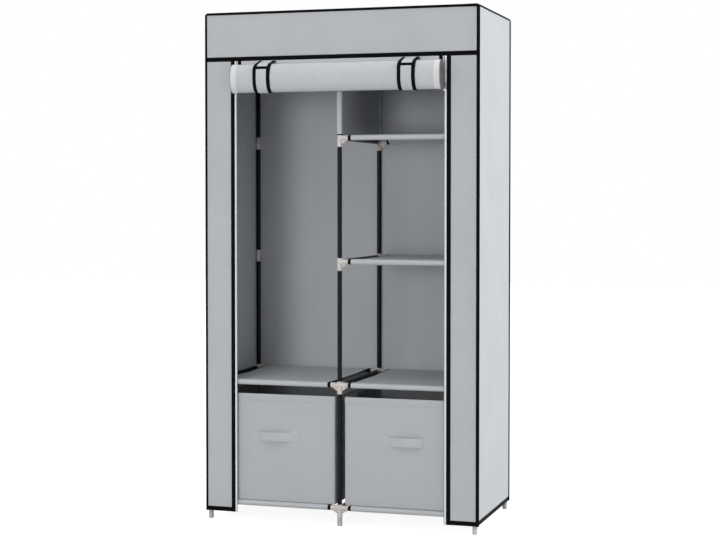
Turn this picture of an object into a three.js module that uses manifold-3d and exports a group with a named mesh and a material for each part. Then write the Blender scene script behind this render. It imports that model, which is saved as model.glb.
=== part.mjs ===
// Portable fabric wardrobe: a push-fit tube frame inside a sewn cloth cover with a roll-up door,
// a hanging bay on the left, shelves on the right and two pull-out bins at the bottom.
// Millimetres, +Z up, the front faces -Y. The origin is on the floor, under the middle of the whole.
import * as THREE from 'three';
import { mergeVertices } from 'three/addons/utils/BufferGeometryUtils.js';
import Module from 'manifold-3d';

const wasm = await Module();
wasm.setup();

// Cover: outer faces of the cloth
const coverWidth = 882;
const coverDepth = 445;
const coverTop = 1598;
const hemHeight = 26;
const cloth = 1.5;

// Binding: folded tape on flat edges and round piping along the box's edges
const bindingWidth = 10;
const bindingProud = 1.5;
const pipingRadius = 4.6;
const pipingSides = 8;

// Frame
const tubeRadius = 7;
const tubeWall = 0.8;
const tubeSides = 12;
const fitGap = 0.3;
const connectorWall = 1.2;
const connectorArm = 28;
const connectorRise = 11;
const webReach = 13;
const webThickness = 2.6;
const baseAxis = 56;
const levelCount = 4;
const collarHalf = 20;
const collarWall = 1.2;

// Feet: tubular plugs that stand in the lowest connectors
const footHeight = 38;
const footWall = 2;
const footFloor = 3;
const footChamfer = 1;
const footFlare = 0.9;

// Front opening: valance above, a strip of cloth at each side with its zip tape
const valanceHeight = 150;
const openingHalf = 344;
const tapeWidth = 7;
const tapeThickness = 1;

// Door: one sheet, sewn under the valance and rolled up in front, where the straps draw the roll flat
const doorCloth = 1.2;
const rollDepthShare = 0.62;
const rollPitch = 3.45;
const rollCore = 6;
const rollHang = 17.5;
const rollStandOff = 6.5;
const rollSteps = 24;
const touchSteps = 360;

// Straps that hold the roll: a loop behind and below it, and a tail that closes over the front
const strapInset = 105;
const strapWidth = 56;
const strapThickness = 2;
const strapBend = 2;
const tailStartAngle = -50;
const tabEndAngle = 24;
const tailEndAngle = 46;
const overlapRamp = 9;
const strapStep = 9;

// Shelves, divider and hanging rail
const shelfCloth = 1.3;
const sleeveSetback = 32;
const dividerCloth = 1.5;
const teeHalf = 24;

// Zip sliders and their pulls
const sliderLength = 12;
const sliderPlate = 1;
const sliderGrip = 5;
const sliderBridge = 2.2;
const sliderDrop = 26.5;
const bailWidth = 2.4;
const bailBar = 1.3;
const pullBarRadius = 1;
const pullBarSides = 8;
const pullWidth = 8;
const pullLength = 18;
const pullThickness = 1.2;
const pullWindow = 5;
const pullWindowRim = 1.2;

// Bins: stiffened cloth boxes with a hem, a base board and a strap handle
const binHeadroom = 28;
const binDepth = 385;
const binWall = 3;
const binSideClearance = 7;
const binCorner = 9;
const cornerSteps = 3;
const binHem = 22;
const binHemProud = 0.8;
const boardThickness = 3;
const boardClearance = 1.5;
const boardHoleRadius = 11;
const boardHoleSides = 12;
const boardHoleInset = 33;
const handleSpan = 110;
const handleTail = 26;
const handleHeight = 28;
const handleRise = 15;
const handleThickness = 2.5;
const handleTop = 118;
const handleBowPower = 0.8;
const handleSteps = 10;

// Overrun of every cutting tool past the face that it opens
const overrun = 2;

// Places that follow from the sizes
const connectorRadius = tubeRadius + fitGap + connectorWall;
const boreRadius = tubeRadius + fitGap;
const sleeveRadius = tubeRadius + shelfCloth;
const axisInset = cloth + fitGap + connectorRadius;
const sideAxis = coverWidth / 2 - axisInset;
const depthAxis = coverDepth / 2 - axisInset;
const topAxis = coverTop - axisInset;
const levelPitch = (topAxis - baseAxis) / levelCount;
const pipingInset = axisInset - (connectorRadius + pipingRadius + fitGap) / Math.SQRT2;
const pipingSeat = pipingInset + pipingRadius + fitGap;
const frontFace = -coverDepth / 2;
const seamHeight = coverTop - valanceHeight;
const socketFloor = connectorRadius;

const columns = { left: -sideAxis, centre: 0, right: sideAxis };
const rows = { front: -depthAxis, rear: depthAxis };
const levels = { base: 0, lower: 1, middle: 2, upper: 3, top: levelCount };
const leftBayLevels = ['base', 'lower', 'top'];
const levelHeight = (level) => baseAxis + levels[level] * levelPitch;

// Roll: the spiral's outer radius, upright, follows from the length of sheet that it takes up.
// Each turn is an ellipse, and its girth a share of the round turn's, by the usual approximation.
const doorHalf = openingHalf - tapeWidth;
const strapPlace = doorHalf - strapInset;
const doorDrop = seamHeight - fitGap - hemHeight;
const girthRoot = Math.sqrt((3 + rollDepthShare) * (1 + 3 * rollDepthShare));
const girthShare = (3 + 3 * rollDepthShare - girthRoot) / 2;
const pitchPerRadian = rollPitch / Math.PI / 2;
const sheetPerPitch = rollPitch / Math.PI / girthShare;
const rolledSheet = doorDrop - rollHang - doorCloth / 2;
const spiralRadius = Math.sqrt(sheetPerPitch ** 2 / 4 + rollCore ** 2 + sheetPerPitch * rolledSheet)
  - sheetPerPitch / 2;
const rollRadius = spiralRadius + doorCloth / 2;
const rollOut = rollStandOff + rollDepthShare * spiralRadius + doorCloth / 2;
const rollHeight = seamHeight - rollHang - rollRadius;

const wardrobe = new THREE.Group();
wardrobe.name = 'portable_fabric_wardrobe';

const finish = (color, roughness, metalness) => ({ color, roughness, metalness });
const finishes = {
  blackTube: finish(0x1b1c1e, 0.42, 0.6),
  palePlastic: finish(0xb3aca9, 0.5, 0),
  coverCloth: finish(0xb2b6b9, 0.9, 0),
  rollCloth: finish(0xb4bbbd, 0.9, 0),
  binCloth: finish(0xa8acb1, 0.9, 0),
  board: finish(0x8f8578, 0.85, 0),
  zincAlloy: finish(0x6e7073, 0.35, 0.9),
};

// Solids from closed three.js geometry

function toSolid(geometry) {
  geometry.deleteAttribute('normal');
  geometry.deleteAttribute('uv');
  const merged = mergeVertices(geometry);
  const vertProperties = merged.attributes.position.array;
  const triVerts = merged.index.array;
  return new wasm.Manifold(new wasm.Mesh({ numProp: 3, vertProperties, triVerts }));
}

function addPiece(name, solid, look) {
  const { vertProperties, triVerts } = solid.getMesh();
  const geometry = new THREE.BufferGeometry();
  geometry.setAttribute('position', new THREE.BufferAttribute(vertProperties, 3));
  geometry.setIndex(new THREE.BufferAttribute(triVerts, 1));
  geometry.computeVertexNormals();
  const mesh = new THREE.Mesh(geometry, new THREE.MeshStandardMaterial(look));
  mesh.name = name;
  wardrobe.add(mesh);
}

const join = (solids) => solids.reduce((whole, solid) => whole.add(solid));
const cut = (solid, tools) => tools.reduce((whole, tool) => whole.subtract(tool), solid);

function block(x, y, z) {
  const geometry = new THREE.BoxGeometry(x[1] - x[0], y[1] - y[0], z[1] - z[0]);
  geometry.translate((x[0] + x[1]) / 2, (y[0] + y[1]) / 2, (z[0] + z[1]) / 2);
  return toSolid(geometry);
}

// A round bar along one axis through a point, from one place on that axis to another
function bar(axis, radius, point, from, to, sides = tubeSides) {
  const geometry = new THREE.CylinderGeometry(radius, radius, Math.abs(to - from), sides);
  if (axis === 'x') geometry.rotateZ(Math.PI / 2);
  if (axis === 'z') geometry.rotateX(Math.PI / 2);
  const place = { ...point, [axis]: (from + to) / 2 };
  geometry.translate(place.x, place.y, place.z);
  return toSolid(geometry);
}

// A piping cord: an octagon with flats on the axes, so that it seats flat beside the cloth
function piping(axis, point, from, to) {
  const across = pipingRadius / Math.cos(Math.PI / pipingSides);
  const geometry = new THREE.CylinderGeometry(across, across, to - from, pipingSides, 1, false,
    Math.PI / pipingSides);
  if (axis === 'x') geometry.rotateZ(Math.PI / 2);
  if (axis === 'z') geometry.rotateX(Math.PI / 2);
  const place = { ...point, [axis]: (from + to) / 2 };
  geometry.translate(place.x, place.y, place.z);
  return toSolid(geometry);
}

// A solid of revolution about the vertical through x, y, from a closed profile of radius and height
function turned(profile, x, y) {
  const points = profile.map(([radius, height]) => new THREE.Vector2(radius, height));
  const geometry = new THREE.LatheGeometry(points, tubeSides);
  geometry.rotateX(Math.PI / 2);
  geometry.translate(x, y, 0);
  return toSolid(geometry);
}

function extruded(shape, depth, steps) {
  return new THREE.ExtrudeGeometry(shape, { depth, bevelEnabled: false, curveSegments: steps });
}

// A sheet of even thickness along a flat path, closed at its edges and ends
function ribbon(path, thickness, width) {
  const positions = [];
  const indices = [];
  const quad = (a, b, c, d) => indices.push(a, b, c, a, c, d);
  path.forEach((point, i) => {
    const before = path[Math.max(i - 1, 0)];
    const after = path[Math.min(i + 1, path.length - 1)];
    const along = after.clone().sub(before).normalize();
    const across = new THREE.Vector2(-along.y, along.x).multiplyScalar(thickness / 2);
    const left = point.clone().add(across);
    const right = point.clone().sub(across);
    for (const edge of [-width / 2, width / 2]) {
      positions.push(left.x, left.y, edge, right.x, right.y, edge);
    }
    if (i === 0) return;
    const b = 4 * i;
    const a = b - 4;
    quad(a, a + 2, b + 2, b);
    quad(a + 1, b + 1, b + 3, a + 3);
    quad(a + 2, a + 3, b + 3, b + 2);
    quad(a, b, b + 1, a + 1);
  });
  const end = 4 * (path.length - 1);
  quad(0, 1, 3, 2);
  quad(end, end + 2, end + 3, end + 1);
  const geometry = new THREE.BufferGeometry();
  geometry.setAttribute('position', new THREE.Float32BufferAttribute(positions, 3));
  geometry.setIndex(indices);
  return geometry;
}

// Frame: posts, feet, rungs with their connectors, top tubes and hanging rail

function addPost(row, column) {
  const inner = tubeRadius - tubeWall;
  const bottom = footHeight + fitGap;
  const top = topAxis - socketFloor - fitGap;
  const profile = [[inner, bottom], [tubeRadius, bottom]];
  if (column === 'left') {
    for (const level of ['middle', 'upper']) {
      const height = levelHeight(level);
      const outer = tubeRadius + collarWall;
      profile.push([tubeRadius, height - collarHalf], [outer, height - collarHalf]);
      profile.push([outer, height + collarHalf], [tubeRadius, height + collarHalf]);
    }
  }
  profile.push([tubeRadius, top], [inner, top], [inner, bottom]);
  addPiece(`post_${row}_${column}`, turned(profile, columns[column], rows[row]), finishes.blackTube);
}

// A foot: a plug in the lowest connector, with a wider tip that meets the connector's mouth
function addFoot(row, column) {
  const flared = tubeRadius + footFlare;
  const shoulder = baseAxis - connectorArm - fitGap;
  const profile = [
    [0, 0],
    [flared - footChamfer, 0],
    [flared, footChamfer],
    [flared, shoulder],
    [tubeRadius, shoulder],
    [tubeRadius, footHeight],
    [tubeRadius - footWall, footHeight],
    [tubeRadius - footWall, footFloor],
    [0, footFloor],
  ];
  addPiece(`foot_${row}_${column}`, turned(profile, columns[column], rows[row]), finishes.palePlastic);
}

// A flat triangular web between an arm's underside and the sleeve, towards one side of the post
function web(at, [outX, outY]) {
  const end = connectorRadius + webReach;
  const outline = [[0, 0], [0, -end], [connectorRadius, -end], [end, -connectorRadius], [end, 0]];
  const shape = new THREE.Shape(outline.map(([along, up]) => new THREE.Vector2(along, up)));
  const geometry = extruded(shape, webThickness, 1);
  geometry.translate(0, 0, -webThickness / 2);
  const along = new THREE.Vector3(outX, outY, 0);
  const up = new THREE.Vector3(0, 0, 1);
  geometry.applyMatrix4(new THREE.Matrix4().makeBasis(along, up, along.clone().cross(up)));
  geometry.translate(at.x, at.y, at.z);
  return toSolid(geometry);
}

// One moulded connector: a sleeve on the post, an arm inward for the rung and sockets to the sides.
// A top one has a blind socket for the post instead, which stops below the arms.
function connector(x, y, z, sides, isTop) {
  const at = { x, y, z };
  const inward = -Math.sign(y);
  const sleeveTop = isTop ? 0 : connectorRise;
  const boreTop = isTop ? -socketFloor : connectorRise + overrun;
  const body = [
    bar('z', connectorRadius, at, z - connectorArm, z + sleeveTop),
    bar('y', connectorRadius, at, y, y + inward * connectorArm),
    ...sides.map((side) => bar('x', connectorRadius, at, x, x + side * connectorArm)),
    web(at, [0, inward]),
    ...sides.map((side) => web(at, [side, 0])),
  ];
  const bores = [
    bar('z', boreRadius, at, z - connectorArm - overrun, z + boreTop),
    ...sides.map((side) => (
      bar('x', boreRadius, at, x + side * socketFloor, x + side * (connectorArm + overrun)))),
  ];
  return { body: join(body), bores };
}

function addRung(level, column) {
  const x = columns[column];
  const z = levelHeight(level);
  const sides = [];
  if (column !== 'left' && (column === 'right' || leftBayLevels.includes(level))) sides.push(-1);
  if (column !== 'right') sides.push(1);
  const front = connector(x, rows.front, z, sides, level === 'top');
  const rear = connector(x, rows.rear, z, sides, level === 'top');
  const tube = bar('y', tubeRadius, { x, z }, rows.front, rows.rear);
  const rung = cut(join([front.body, rear.body, tube]), [...front.bores, ...rear.bores]);
  addPiece(`rung_${level}_${column}`, rung, finishes.blackTube);
}

// A tube between two facing sockets of one bay
function socketTube(radius, y, z, from, to) {
  return bar('x', radius, { y, z }, from + socketFloor + fitGap, to - socketFloor - fitGap);
}

const bays = { left: [columns.left, columns.centre], right: [columns.centre, columns.right] };

function addTopTube(row, bay) {
  const [tube, hollow] = [tubeRadius, tubeRadius - tubeWall].map((radius) => (
    socketTube(radius, rows[row], topAxis, ...bays[bay])));
  addPiece(`top_tube_${row}_${bay}`, tube.subtract(hollow), finishes.blackTube);
}

// The hanging rail spans the left bay between two tees that ride on the top rungs
function addHangingRail() {
  const [from, to] = bays.left;
  const z = topAxis;
  const tees = [from, to].map((x) => bar('y', connectorRadius, { x, z }, -teeHalf, teeHalf));
  const bores = [from, to].map((x) => (
    bar('y', boreRadius, { x, z }, -teeHalf - overrun, teeHalf + overrun)));
  const arms = [
    bar('x', connectorRadius, { y: 0, z }, from, from + connectorArm),
    bar('x', connectorRadius, { y: 0, z }, to - connectorArm, to),
  ];
  const rail = bar('x', tubeRadius, { y: 0, z }, from, to);
  addPiece('hanging_rail', cut(join([...tees, ...arms, rail]), bores), finishes.blackTube);
}

// Shelves and divider

function addShelf(level, bay) {
  const [from, to] = bays[bay];
  const z = levelHeight(level);
  const start = from + sleeveSetback;
  const end = to - sleeveSetback;
  const solids = [block([start, end], [rows.front, rows.rear], [z + tubeRadius, z + sleeveRadius])];
  for (const y of Object.values(rows)) {
    solids.push(socketTube(tubeRadius, y, z, from, to), bar('x', sleeveRadius, { y, z }, start, end));
  }
  addPiece(`shelf_${level}_${bay}`, join(solids), finishes.coverCloth);
}

// A cloth wall between the hanging bay and the top compartment, sleeved on the centre posts
function addDivider() {
  const bottom = levelHeight('upper') + connectorRise + fitGap;
  const top = topAxis - sleeveSetback;
  const x = columns.centre;
  const wall = block([x - dividerCloth / 2, x + dividerCloth / 2], [rows.front, rows.rear],
    [bottom, top]);
  const sleeves = Object.values(rows).map((y) => bar('z', boreRadius + dividerCloth, { x, y }, bottom, top));
  const bores = Object.values(rows).map((y) => (
    bar('z', boreRadius, { x, y }, bottom - overrun, top + overrun)));
  addPiece('divider_panel', cut(join([wall, ...sleeves]), bores), finishes.coverCloth);
}

// Cover

const seatX = coverWidth / 2 - pipingSeat;
const seatY = coverDepth / 2 - pipingSeat;
const seatZ = coverTop - pipingSeat;

function addTopPanel() {
  const halfX = coverWidth / 2 - pipingInset;
  const halfY = coverDepth / 2 - pipingInset;
  const z = coverTop - pipingInset;
  const sheet = block([-halfX, halfX], [-halfY, halfY], [coverTop - cloth, coverTop]);
  const cords = [
    ...[-halfY, halfY].map((y) => piping('x', { y, z }, -halfX - pipingRadius, halfX + pipingRadius)),
    ...[-halfX, halfX].map((x) => piping('y', { x, z }, -halfY - pipingRadius, halfY + pipingRadius)),
  ];
  addPiece('cover_top', join([sheet, ...cords]), finishes.coverCloth);
}

function addSidePanel(name, side) {
  const outer = side * coverWidth / 2;
  const xs = [outer, outer - side * cloth].sort((a, b) => a - b);
  const hemXs = [outer + side * bindingProud, outer - side * cloth].sort((a, b) => a - b);
  const x = side * (coverWidth / 2 - pipingInset);
  const halfY = coverDepth / 2 - pipingInset;
  const sheet = block(xs, [-halfY, halfY], [hemHeight, seatZ]);
  const hem = block(hemXs, [-halfY, halfY], [hemHeight, hemHeight + bindingWidth]);
  const cords = [-halfY, halfY].map((y) => piping('z', { x, y }, hemHeight, seatZ));
  addPiece(name, join([sheet, hem, ...cords]), finishes.coverCloth);
}

function addBackPanel() {
  const outer = coverDepth / 2;
  const sheet = block([-seatX, seatX], [outer - cloth, outer], [hemHeight, seatZ]);
  const hem = block([-seatX, seatX], [outer - cloth, outer + bindingProud],
    [hemHeight, hemHeight + bindingWidth]);
  addPiece('cover_back', sheet.add(hem), finishes.coverCloth);
}

function addValance() {
  const sheet = block([-seatX, seatX], [frontFace, frontFace + cloth], [seamHeight, seatZ]);
  const seam = block([-seatX, seatX], [frontFace - bindingProud, frontFace + cloth],
    [seamHeight, seamHeight + bindingWidth]);
  addPiece('cover_valance', sheet.add(seam), finishes.coverCloth);
}

// A front strip: cloth, bound inner edge and the zip tape that stands out of the binding
function addFrontStrip(name, side) {
  const span = (a, b) => [side * a, side * b].sort((c, d) => c - d);
  const boundEdge = openingHalf + bindingWidth;
  const top = seamHeight - fitGap;
  const thick = [frontFace - bindingProud, frontFace + cloth];
  const sheet = block(span(openingHalf, seatX), [frontFace, frontFace + cloth], [hemHeight, top]);
  const binding = block(span(openingHalf, boundEdge), thick, [hemHeight, top]);
  const hem = block(span(openingHalf, seatX), thick, [hemHeight, hemHeight + bindingWidth]);
  const tape = block(span(openingHalf - tapeWidth, boundEdge),
    [frontFace - bindingProud, frontFace - bindingProud + tapeThickness], [hemHeight, top]);
  addPiece(name, join([sheet, binding, hem, tape]), finishes.coverCloth);
}

// Roll-up door. Paths run in the plane of the roll's section: out from the front face, and height.

const rollCentre = new THREE.Vector2(rollOut, rollHeight);
const radians = THREE.MathUtils.degToRad;

// A point on the flattened turn of an upright radius, lifted off it along its outward normal
function onRoll(angle, radius, lift) {
  const [out, up] = [Math.cos(angle), Math.sin(angle)];
  const outward = new THREE.Vector2(out, rollDepthShare * up).setLength(lift);
  return new THREE.Vector2(rollDepthShare * out, up).multiplyScalar(radius).add(outward).add(rollCentre);
}

// Where a line from a point above touches a curve round the roll: the half turn of the curve is
// searched for the place that leans furthest out, to the front (1) or to the rear (-1)
function touchAngle(point, curve, halfTurnStart, side) {
  let touch = halfTurnStart;
  let furthest = -Infinity;
  for (let i = 0; i <= touchSteps; i += 1) {
    const angle = halfTurnStart + Math.PI * i / touchSteps;
    const toward = curve(angle).sub(point);
    const lean = side * toward.x / -toward.y;
    if (lean > furthest) [touch, furthest] = [angle, lean];
  }
  return touch;
}

const doorOut = bindingProud + fitGap + doorCloth / 2;
const doorStart = new THREE.Vector2(doorOut, seamHeight - fitGap);
const wrapStart = touchAngle(doorStart, (angle) => onRoll(angle, spiralRadius, 0), Math.PI / 2, -1);
const sheetRadius = (angle) => spiralRadius - pitchPerRadian * (angle - wrapStart);
const wrapAngle = (spiralRadius - rollCore) / pitchPerRadian;

// Solid of a path in the roll's section, at a place along the roll
function acrossRoll(path, thickness, width, x) {
  const geometry = ribbon(path, thickness, width);
  const towardFront = new THREE.Vector3(0, -1, 0);
  const up = new THREE.Vector3(0, 0, 1);
  const along = new THREE.Vector3(-1, 0, 0);
  geometry.applyMatrix4(new THREE.Matrix4().makeBasis(towardFront, up, along));
  geometry.translate(x, frontFace, 0);
  return toSolid(geometry);
}

function leastSelfGap(path, thickness, apart) {
  let least = Infinity;
  path.forEach((point, i) => {
    for (let j = i + apart; j < path.length; j += 1) {
      least = Math.min(least, point.distanceTo(path[j]) - thickness);
    }
  });
  return least;
}

function addDoor() {
  const count = Math.ceil(wrapAngle / (2 * Math.PI) * rollSteps);
  const path = [doorStart];
  for (let i = 0; i <= count; i += 1) {
    const angle = wrapStart + wrapAngle * i / count;
    path.push(onRoll(angle, sheetRadius(angle), 0));
  }
  const gap = leastSelfGap(path, doorCloth, rollSteps / 2);
  console.log(`least gap between turns of the rolled door: ${gap.toFixed(2)} mm`);
  const notchDepth = strapThickness + strapBend;
  const notches = [-strapPlace, strapPlace].map((x) => block(
    [x - strapWidth / 2 - fitGap, x + strapWidth / 2 + fitGap],
    [frontFace - doorOut - doorCloth, frontFace - doorOut + doorCloth],
    [doorStart.y - notchDepth, doorStart.y + overrun],
  ));
  const sheet = acrossRoll(path, doorCloth, 2 * doorHalf, 0);
  addPiece('door_roll', cut(sheet, notches), finishes.rollCloth);
}

// A strap lies on the outer turn, or on another strap there, with a fitting gap under it
const turn = 2 * Math.PI;
const strapLift = doorCloth / 2 + fitGap + strapThickness / 2;
const layerLift = strapThickness + fitGap;
const strapAt = (angle, layer) => onRoll(angle, sheetRadius(angle), strapLift + layer * layerLift);

function arc(from, to, layer) {
  const count = Math.ceil(Math.abs(to - from) / radians(strapStep));
  const points = [];
  for (let i = 0; i <= count; i += 1) points.push(strapAt(from + (to - from) * i / count, layer));
  return points;
}

// The strap is sewn in at its bend: its short tab lies on the roll, its loop runs behind and below
function addStrapLoop(name, x) {
  const seam = new THREE.Vector2(
    doorOut - strapLift,
    seamHeight - fitGap - strapThickness / 2,
  );
  const tabTop = touchAngle(seam, (angle) => strapAt(angle, 0), turn, 1);
  const loopTop = touchAngle(seam, (angle) => strapAt(angle, 0), Math.PI / 2, -1);
  const tab = arc(turn + radians(tabEndAngle), tabTop, 0);
  const loop = arc(loopTop, turn + radians(tailStartAngle), 0);
  const tabEnd = tab[tab.length - 1];
  const towardRoll = tabEnd.clone().sub(seam).setLength(strapBend);
  const downLoop = loop[0].clone().sub(seam).setLength(strapBend);
  const bend = new THREE.QuadraticBezierCurve(seam.clone().add(towardRoll), seam,
    seam.clone().add(downLoop));
  const path = [...tab, ...bend.getPoints(cornerSteps), ...loop];
  addPiece(name, acrossRoll(path, strapThickness, strapWidth, x), finishes.rollCloth);
}

// The tail lies on the roll's front and steps out over the tab, which its end covers
function addStrapTail(name, x) {
  const gapAngle = fitGap / (rollDepthShare * spiralRadius);
  const start = turn + radians(tailStartAngle) + gapAngle;
  const rampEnd = turn + radians(tabEndAngle) - 2 * gapAngle;
  const rampStart = rampEnd - radians(overlapRamp);
  const path = [
    ...arc(start, rampStart, 0),
    ...arc(rampEnd, turn + radians(tailEndAngle), 1),
  ];
  addPiece(name, acrossRoll(path, strapThickness, strapWidth, x), finishes.rollCloth);
}

// Zip sliders: a jaw round the tape's free edge, with a bail in front for the pull

const tapeEdge = openingHalf - tapeWidth;
const tapeMiddle = frontFace - bindingProud + tapeThickness / 2;
const jawHalf = tapeThickness / 2 + fitGap;
const sliderFront = tapeMiddle - jawHalf - sliderPlate;
const sliderHeight = rollHeight - sliderDrop;
const bailClear = pullBarRadius + fitGap;
const pullAxisY = sliderFront - bailClear;

function addSlider(name, side) {
  const span = (a, b) => [side * a, side * b].sort((c, d) => c - d);
  const inner = tapeEdge - fitGap - sliderBridge;
  const z = [sliderHeight - sliderLength / 2, sliderHeight + sliderLength / 2];
  const body = block(span(inner, tapeEdge + sliderGrip),
    [sliderFront, tapeMiddle + jawHalf + sliderPlate], z);
  const jaw = block(span(tapeEdge - fitGap, tapeEdge + sliderGrip + overrun),
    [tapeMiddle - jawHalf, tapeMiddle + jawHalf], [z[0] - overrun, z[1] + overrun]);
  const middle = (inner + tapeEdge + sliderGrip) / 2;
  const bailX = span(middle - bailWidth / 2, middle + bailWidth / 2);
  const bail = block(bailX, [sliderFront - 2 * bailClear - bailBar, sliderFront + sliderPlate / 2],
    [sliderHeight - bailClear - bailBar, sliderHeight + bailClear + bailBar]);
  const eye = block([bailX[0] - overrun, bailX[1] + overrun],
    [sliderFront - 2 * bailClear, sliderFront], [sliderHeight - bailClear, sliderHeight + bailClear]);
  addPiece(name, body.add(bail.subtract(eye)).subtract(jaw), finishes.zincAlloy);
}

function addPull(name, side) {
  const inner = tapeEdge - fitGap - sliderBridge;
  const x = side * (inner + tapeEdge + sliderGrip) / 2;
  const opening = bailWidth / 2 + fitGap;
  const y = [pullAxisY - pullThickness / 2, pullAxisY + pullThickness / 2];
  const plate = block([x - pullWidth / 2, x + pullWidth / 2], y, [sliderHeight - pullLength, sliderHeight]);
  const window = block([x - opening, x + opening], [y[0] - overrun, y[1] + overrun],
    [sliderHeight - pullWindow, sliderHeight + overrun]);
  const barHalf = opening + pullWindowRim;
  const pivot = bar('x', pullBarRadius, { y: pullAxisY, z: sliderHeight }, x - barHalf, x + barHalf,
    pullBarSides);
  addPiece(name, plate.subtract(window).add(pivot), finishes.zincAlloy);
}

// Bins

const binX = (side) => side * (columns.right - columns.centre) / 2;
const binHalf = (columns.right - columns.centre) / 2 - connectorRadius - binSideClearance;
const binFloor = baseAxis + sleeveRadius + fitGap;
const binTop = levelHeight('lower') - sleeveRadius - binHeadroom;
const binFront = rows.front;

function roundedBox(halfX, y, z, corner) {
  const shape = new THREE.Shape();
  const quarter = Math.PI / 2;
  shape.absarc(halfX - corner, y[0] + corner, corner, -quarter, 0);
  shape.absarc(halfX - corner, y[1] - corner, corner, 0, quarter);
  shape.absarc(-halfX + corner, y[1] - corner, corner, quarter, 2 * quarter);
  shape.absarc(-halfX + corner, y[0] + corner, corner, 2 * quarter, 3 * quarter);
  shape.closePath();
  const geometry = extruded(shape, z[1] - z[0], cornerSteps);
  geometry.translate(0, 0, z[0]);
  return geometry;
}

function addBin(side, name) {
  const x = binX(side);
  const depth = [binFront, binFront + binDepth];
  const placed = (geometry) => toSolid(geometry.translate(x, 0, 0));
  const inset = (edges, by) => [edges[0] + by, edges[1] - by];
  const body = placed(roundedBox(binHalf, depth, [binFloor, binTop], binCorner));
  const hem = placed(roundedBox(binHalf + binHemProud, inset(depth, -binHemProud), [binTop - binHem, binTop],
    binCorner + binHemProud));
  const hollow = placed(roundedBox(binHalf - binWall, inset(depth, binWall),
    [binFloor + binWall, binTop + overrun], binCorner - binWall));
  addPiece(`bin_${name}_shell`, body.add(hem).subtract(hollow), finishes.binCloth);

  const boardInset = binWall + boardClearance;
  const boardBottom = binFloor + binWall + fitGap;
  const board = placed(roundedBox(binHalf - boardInset, inset(depth, boardInset),
    [boardBottom, boardBottom + boardThickness], binCorner - binWall));
  const fingerY = depth[1] - boardInset - boardHoleInset;
  const fingerHole = bar('z', boardHoleRadius, { x, y: fingerY }, boardBottom - overrun,
    boardBottom + boardThickness + overrun, boardHoleSides);
  addPiece(`bin_${name}_board`, board.subtract(fingerHole), finishes.board);
  addHandle(`bin_${name}_handle`, x, binTop - handleTop);
}

// A flat strap, sewn down at its two tails and arched between them for the fingers
function addHandle(name, x, top) {
  const seat = fitGap + handleThickness / 2;
  const half = handleSpan / 2;
  const path = [new THREE.Vector2(-half - handleTail, seat)];
  for (let i = 0; i <= handleSteps; i += 1) {
    const share = i / handleSteps;
    const rise = Math.sin(Math.PI * share) ** handleBowPower;
    path.push(new THREE.Vector2(-half + handleSpan * share, seat + handleRise * rise));
  }
  path.push(new THREE.Vector2(half + handleTail, seat));
  const geometry = ribbon(path, handleThickness, handleHeight);
  const sideways = new THREE.Vector3(1, 0, 0);
  const outward = new THREE.Vector3(0, -1, 0);
  const down = new THREE.Vector3(0, 0, -1);
  geometry.applyMatrix4(new THREE.Matrix4().makeBasis(sideways, outward, down));
  geometry.translate(x, binFront, top - handleHeight / 2);
  addPiece(name, toSolid(geometry), finishes.binCloth);
}

for (const row of Object.keys(rows)) {
  for (const column of Object.keys(columns)) {
    addPost(row, column);
    addFoot(row, column);
  }
  for (const bay of Object.keys(bays)) addTopTube(row, bay);
}
for (const level of Object.keys(levels)) {
  for (const column of Object.keys(columns)) {
    if (column === 'left' && !leftBayLevels.includes(level)) continue;
    addRung(level, column);
  }
  if (level === 'top') continue;
  for (const bay of Object.keys(bays)) {
    if (bay === 'left' && !leftBayLevels.includes(level)) continue;
    addShelf(level, bay);
  }
}
addHangingRail();
addDivider();
addTopPanel();
addBackPanel();
addValance();
addDoor();
for (const [name, side] of [['left', -1], ['right', 1]]) {
  addSidePanel(`cover_${name}`, side);
  addFrontStrip(`front_strip_${name}`, side);
  addStrapLoop(`strap_loop_${name}`, side * strapPlace);
  addStrapTail(`strap_tail_${name}`, side * strapPlace);
  addSlider(`zip_slider_${name}`, side);
  addPull(`zip_pull_${name}`, side);
  addBin(side, name);
}

// The roll stands out in front, so the whole is moved back to centre it over the origin
const bounds = new THREE.Box3().setFromObject(wardrobe);
wardrobe.position.y = -(bounds.min.y + bounds.max.y) / 2;

export default wardrobe;
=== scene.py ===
import math

import bpy
import numpy as np
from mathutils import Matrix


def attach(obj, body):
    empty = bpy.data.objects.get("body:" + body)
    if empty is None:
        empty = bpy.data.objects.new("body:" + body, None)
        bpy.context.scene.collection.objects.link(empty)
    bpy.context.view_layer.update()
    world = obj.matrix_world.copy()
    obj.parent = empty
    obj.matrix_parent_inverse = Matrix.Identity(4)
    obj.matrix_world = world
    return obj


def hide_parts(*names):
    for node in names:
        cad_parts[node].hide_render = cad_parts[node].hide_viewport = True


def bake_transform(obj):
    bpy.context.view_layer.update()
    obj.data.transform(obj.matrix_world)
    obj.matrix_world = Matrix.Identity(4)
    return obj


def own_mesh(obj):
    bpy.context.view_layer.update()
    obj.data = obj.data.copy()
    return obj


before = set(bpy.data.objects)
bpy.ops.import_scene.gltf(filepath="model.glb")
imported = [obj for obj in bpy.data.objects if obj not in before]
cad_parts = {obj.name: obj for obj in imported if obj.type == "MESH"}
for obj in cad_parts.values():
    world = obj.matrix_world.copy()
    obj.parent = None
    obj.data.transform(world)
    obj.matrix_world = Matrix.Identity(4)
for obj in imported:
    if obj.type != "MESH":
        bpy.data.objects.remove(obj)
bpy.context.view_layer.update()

# Feet. Six tubular plugs of grey-white polypropylene, moulded with a closed, chamfered tip.
# Each is pushed into the lowest connector under its post, and shows below the cover's hem.
FRONT, REAR = -0.182872, 0.241528
ROWS = {"front": FRONT, "rear": REAR}
COLUMNS = {"left": -0.4307, "centre": 0.0, "right": 0.4307}
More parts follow.
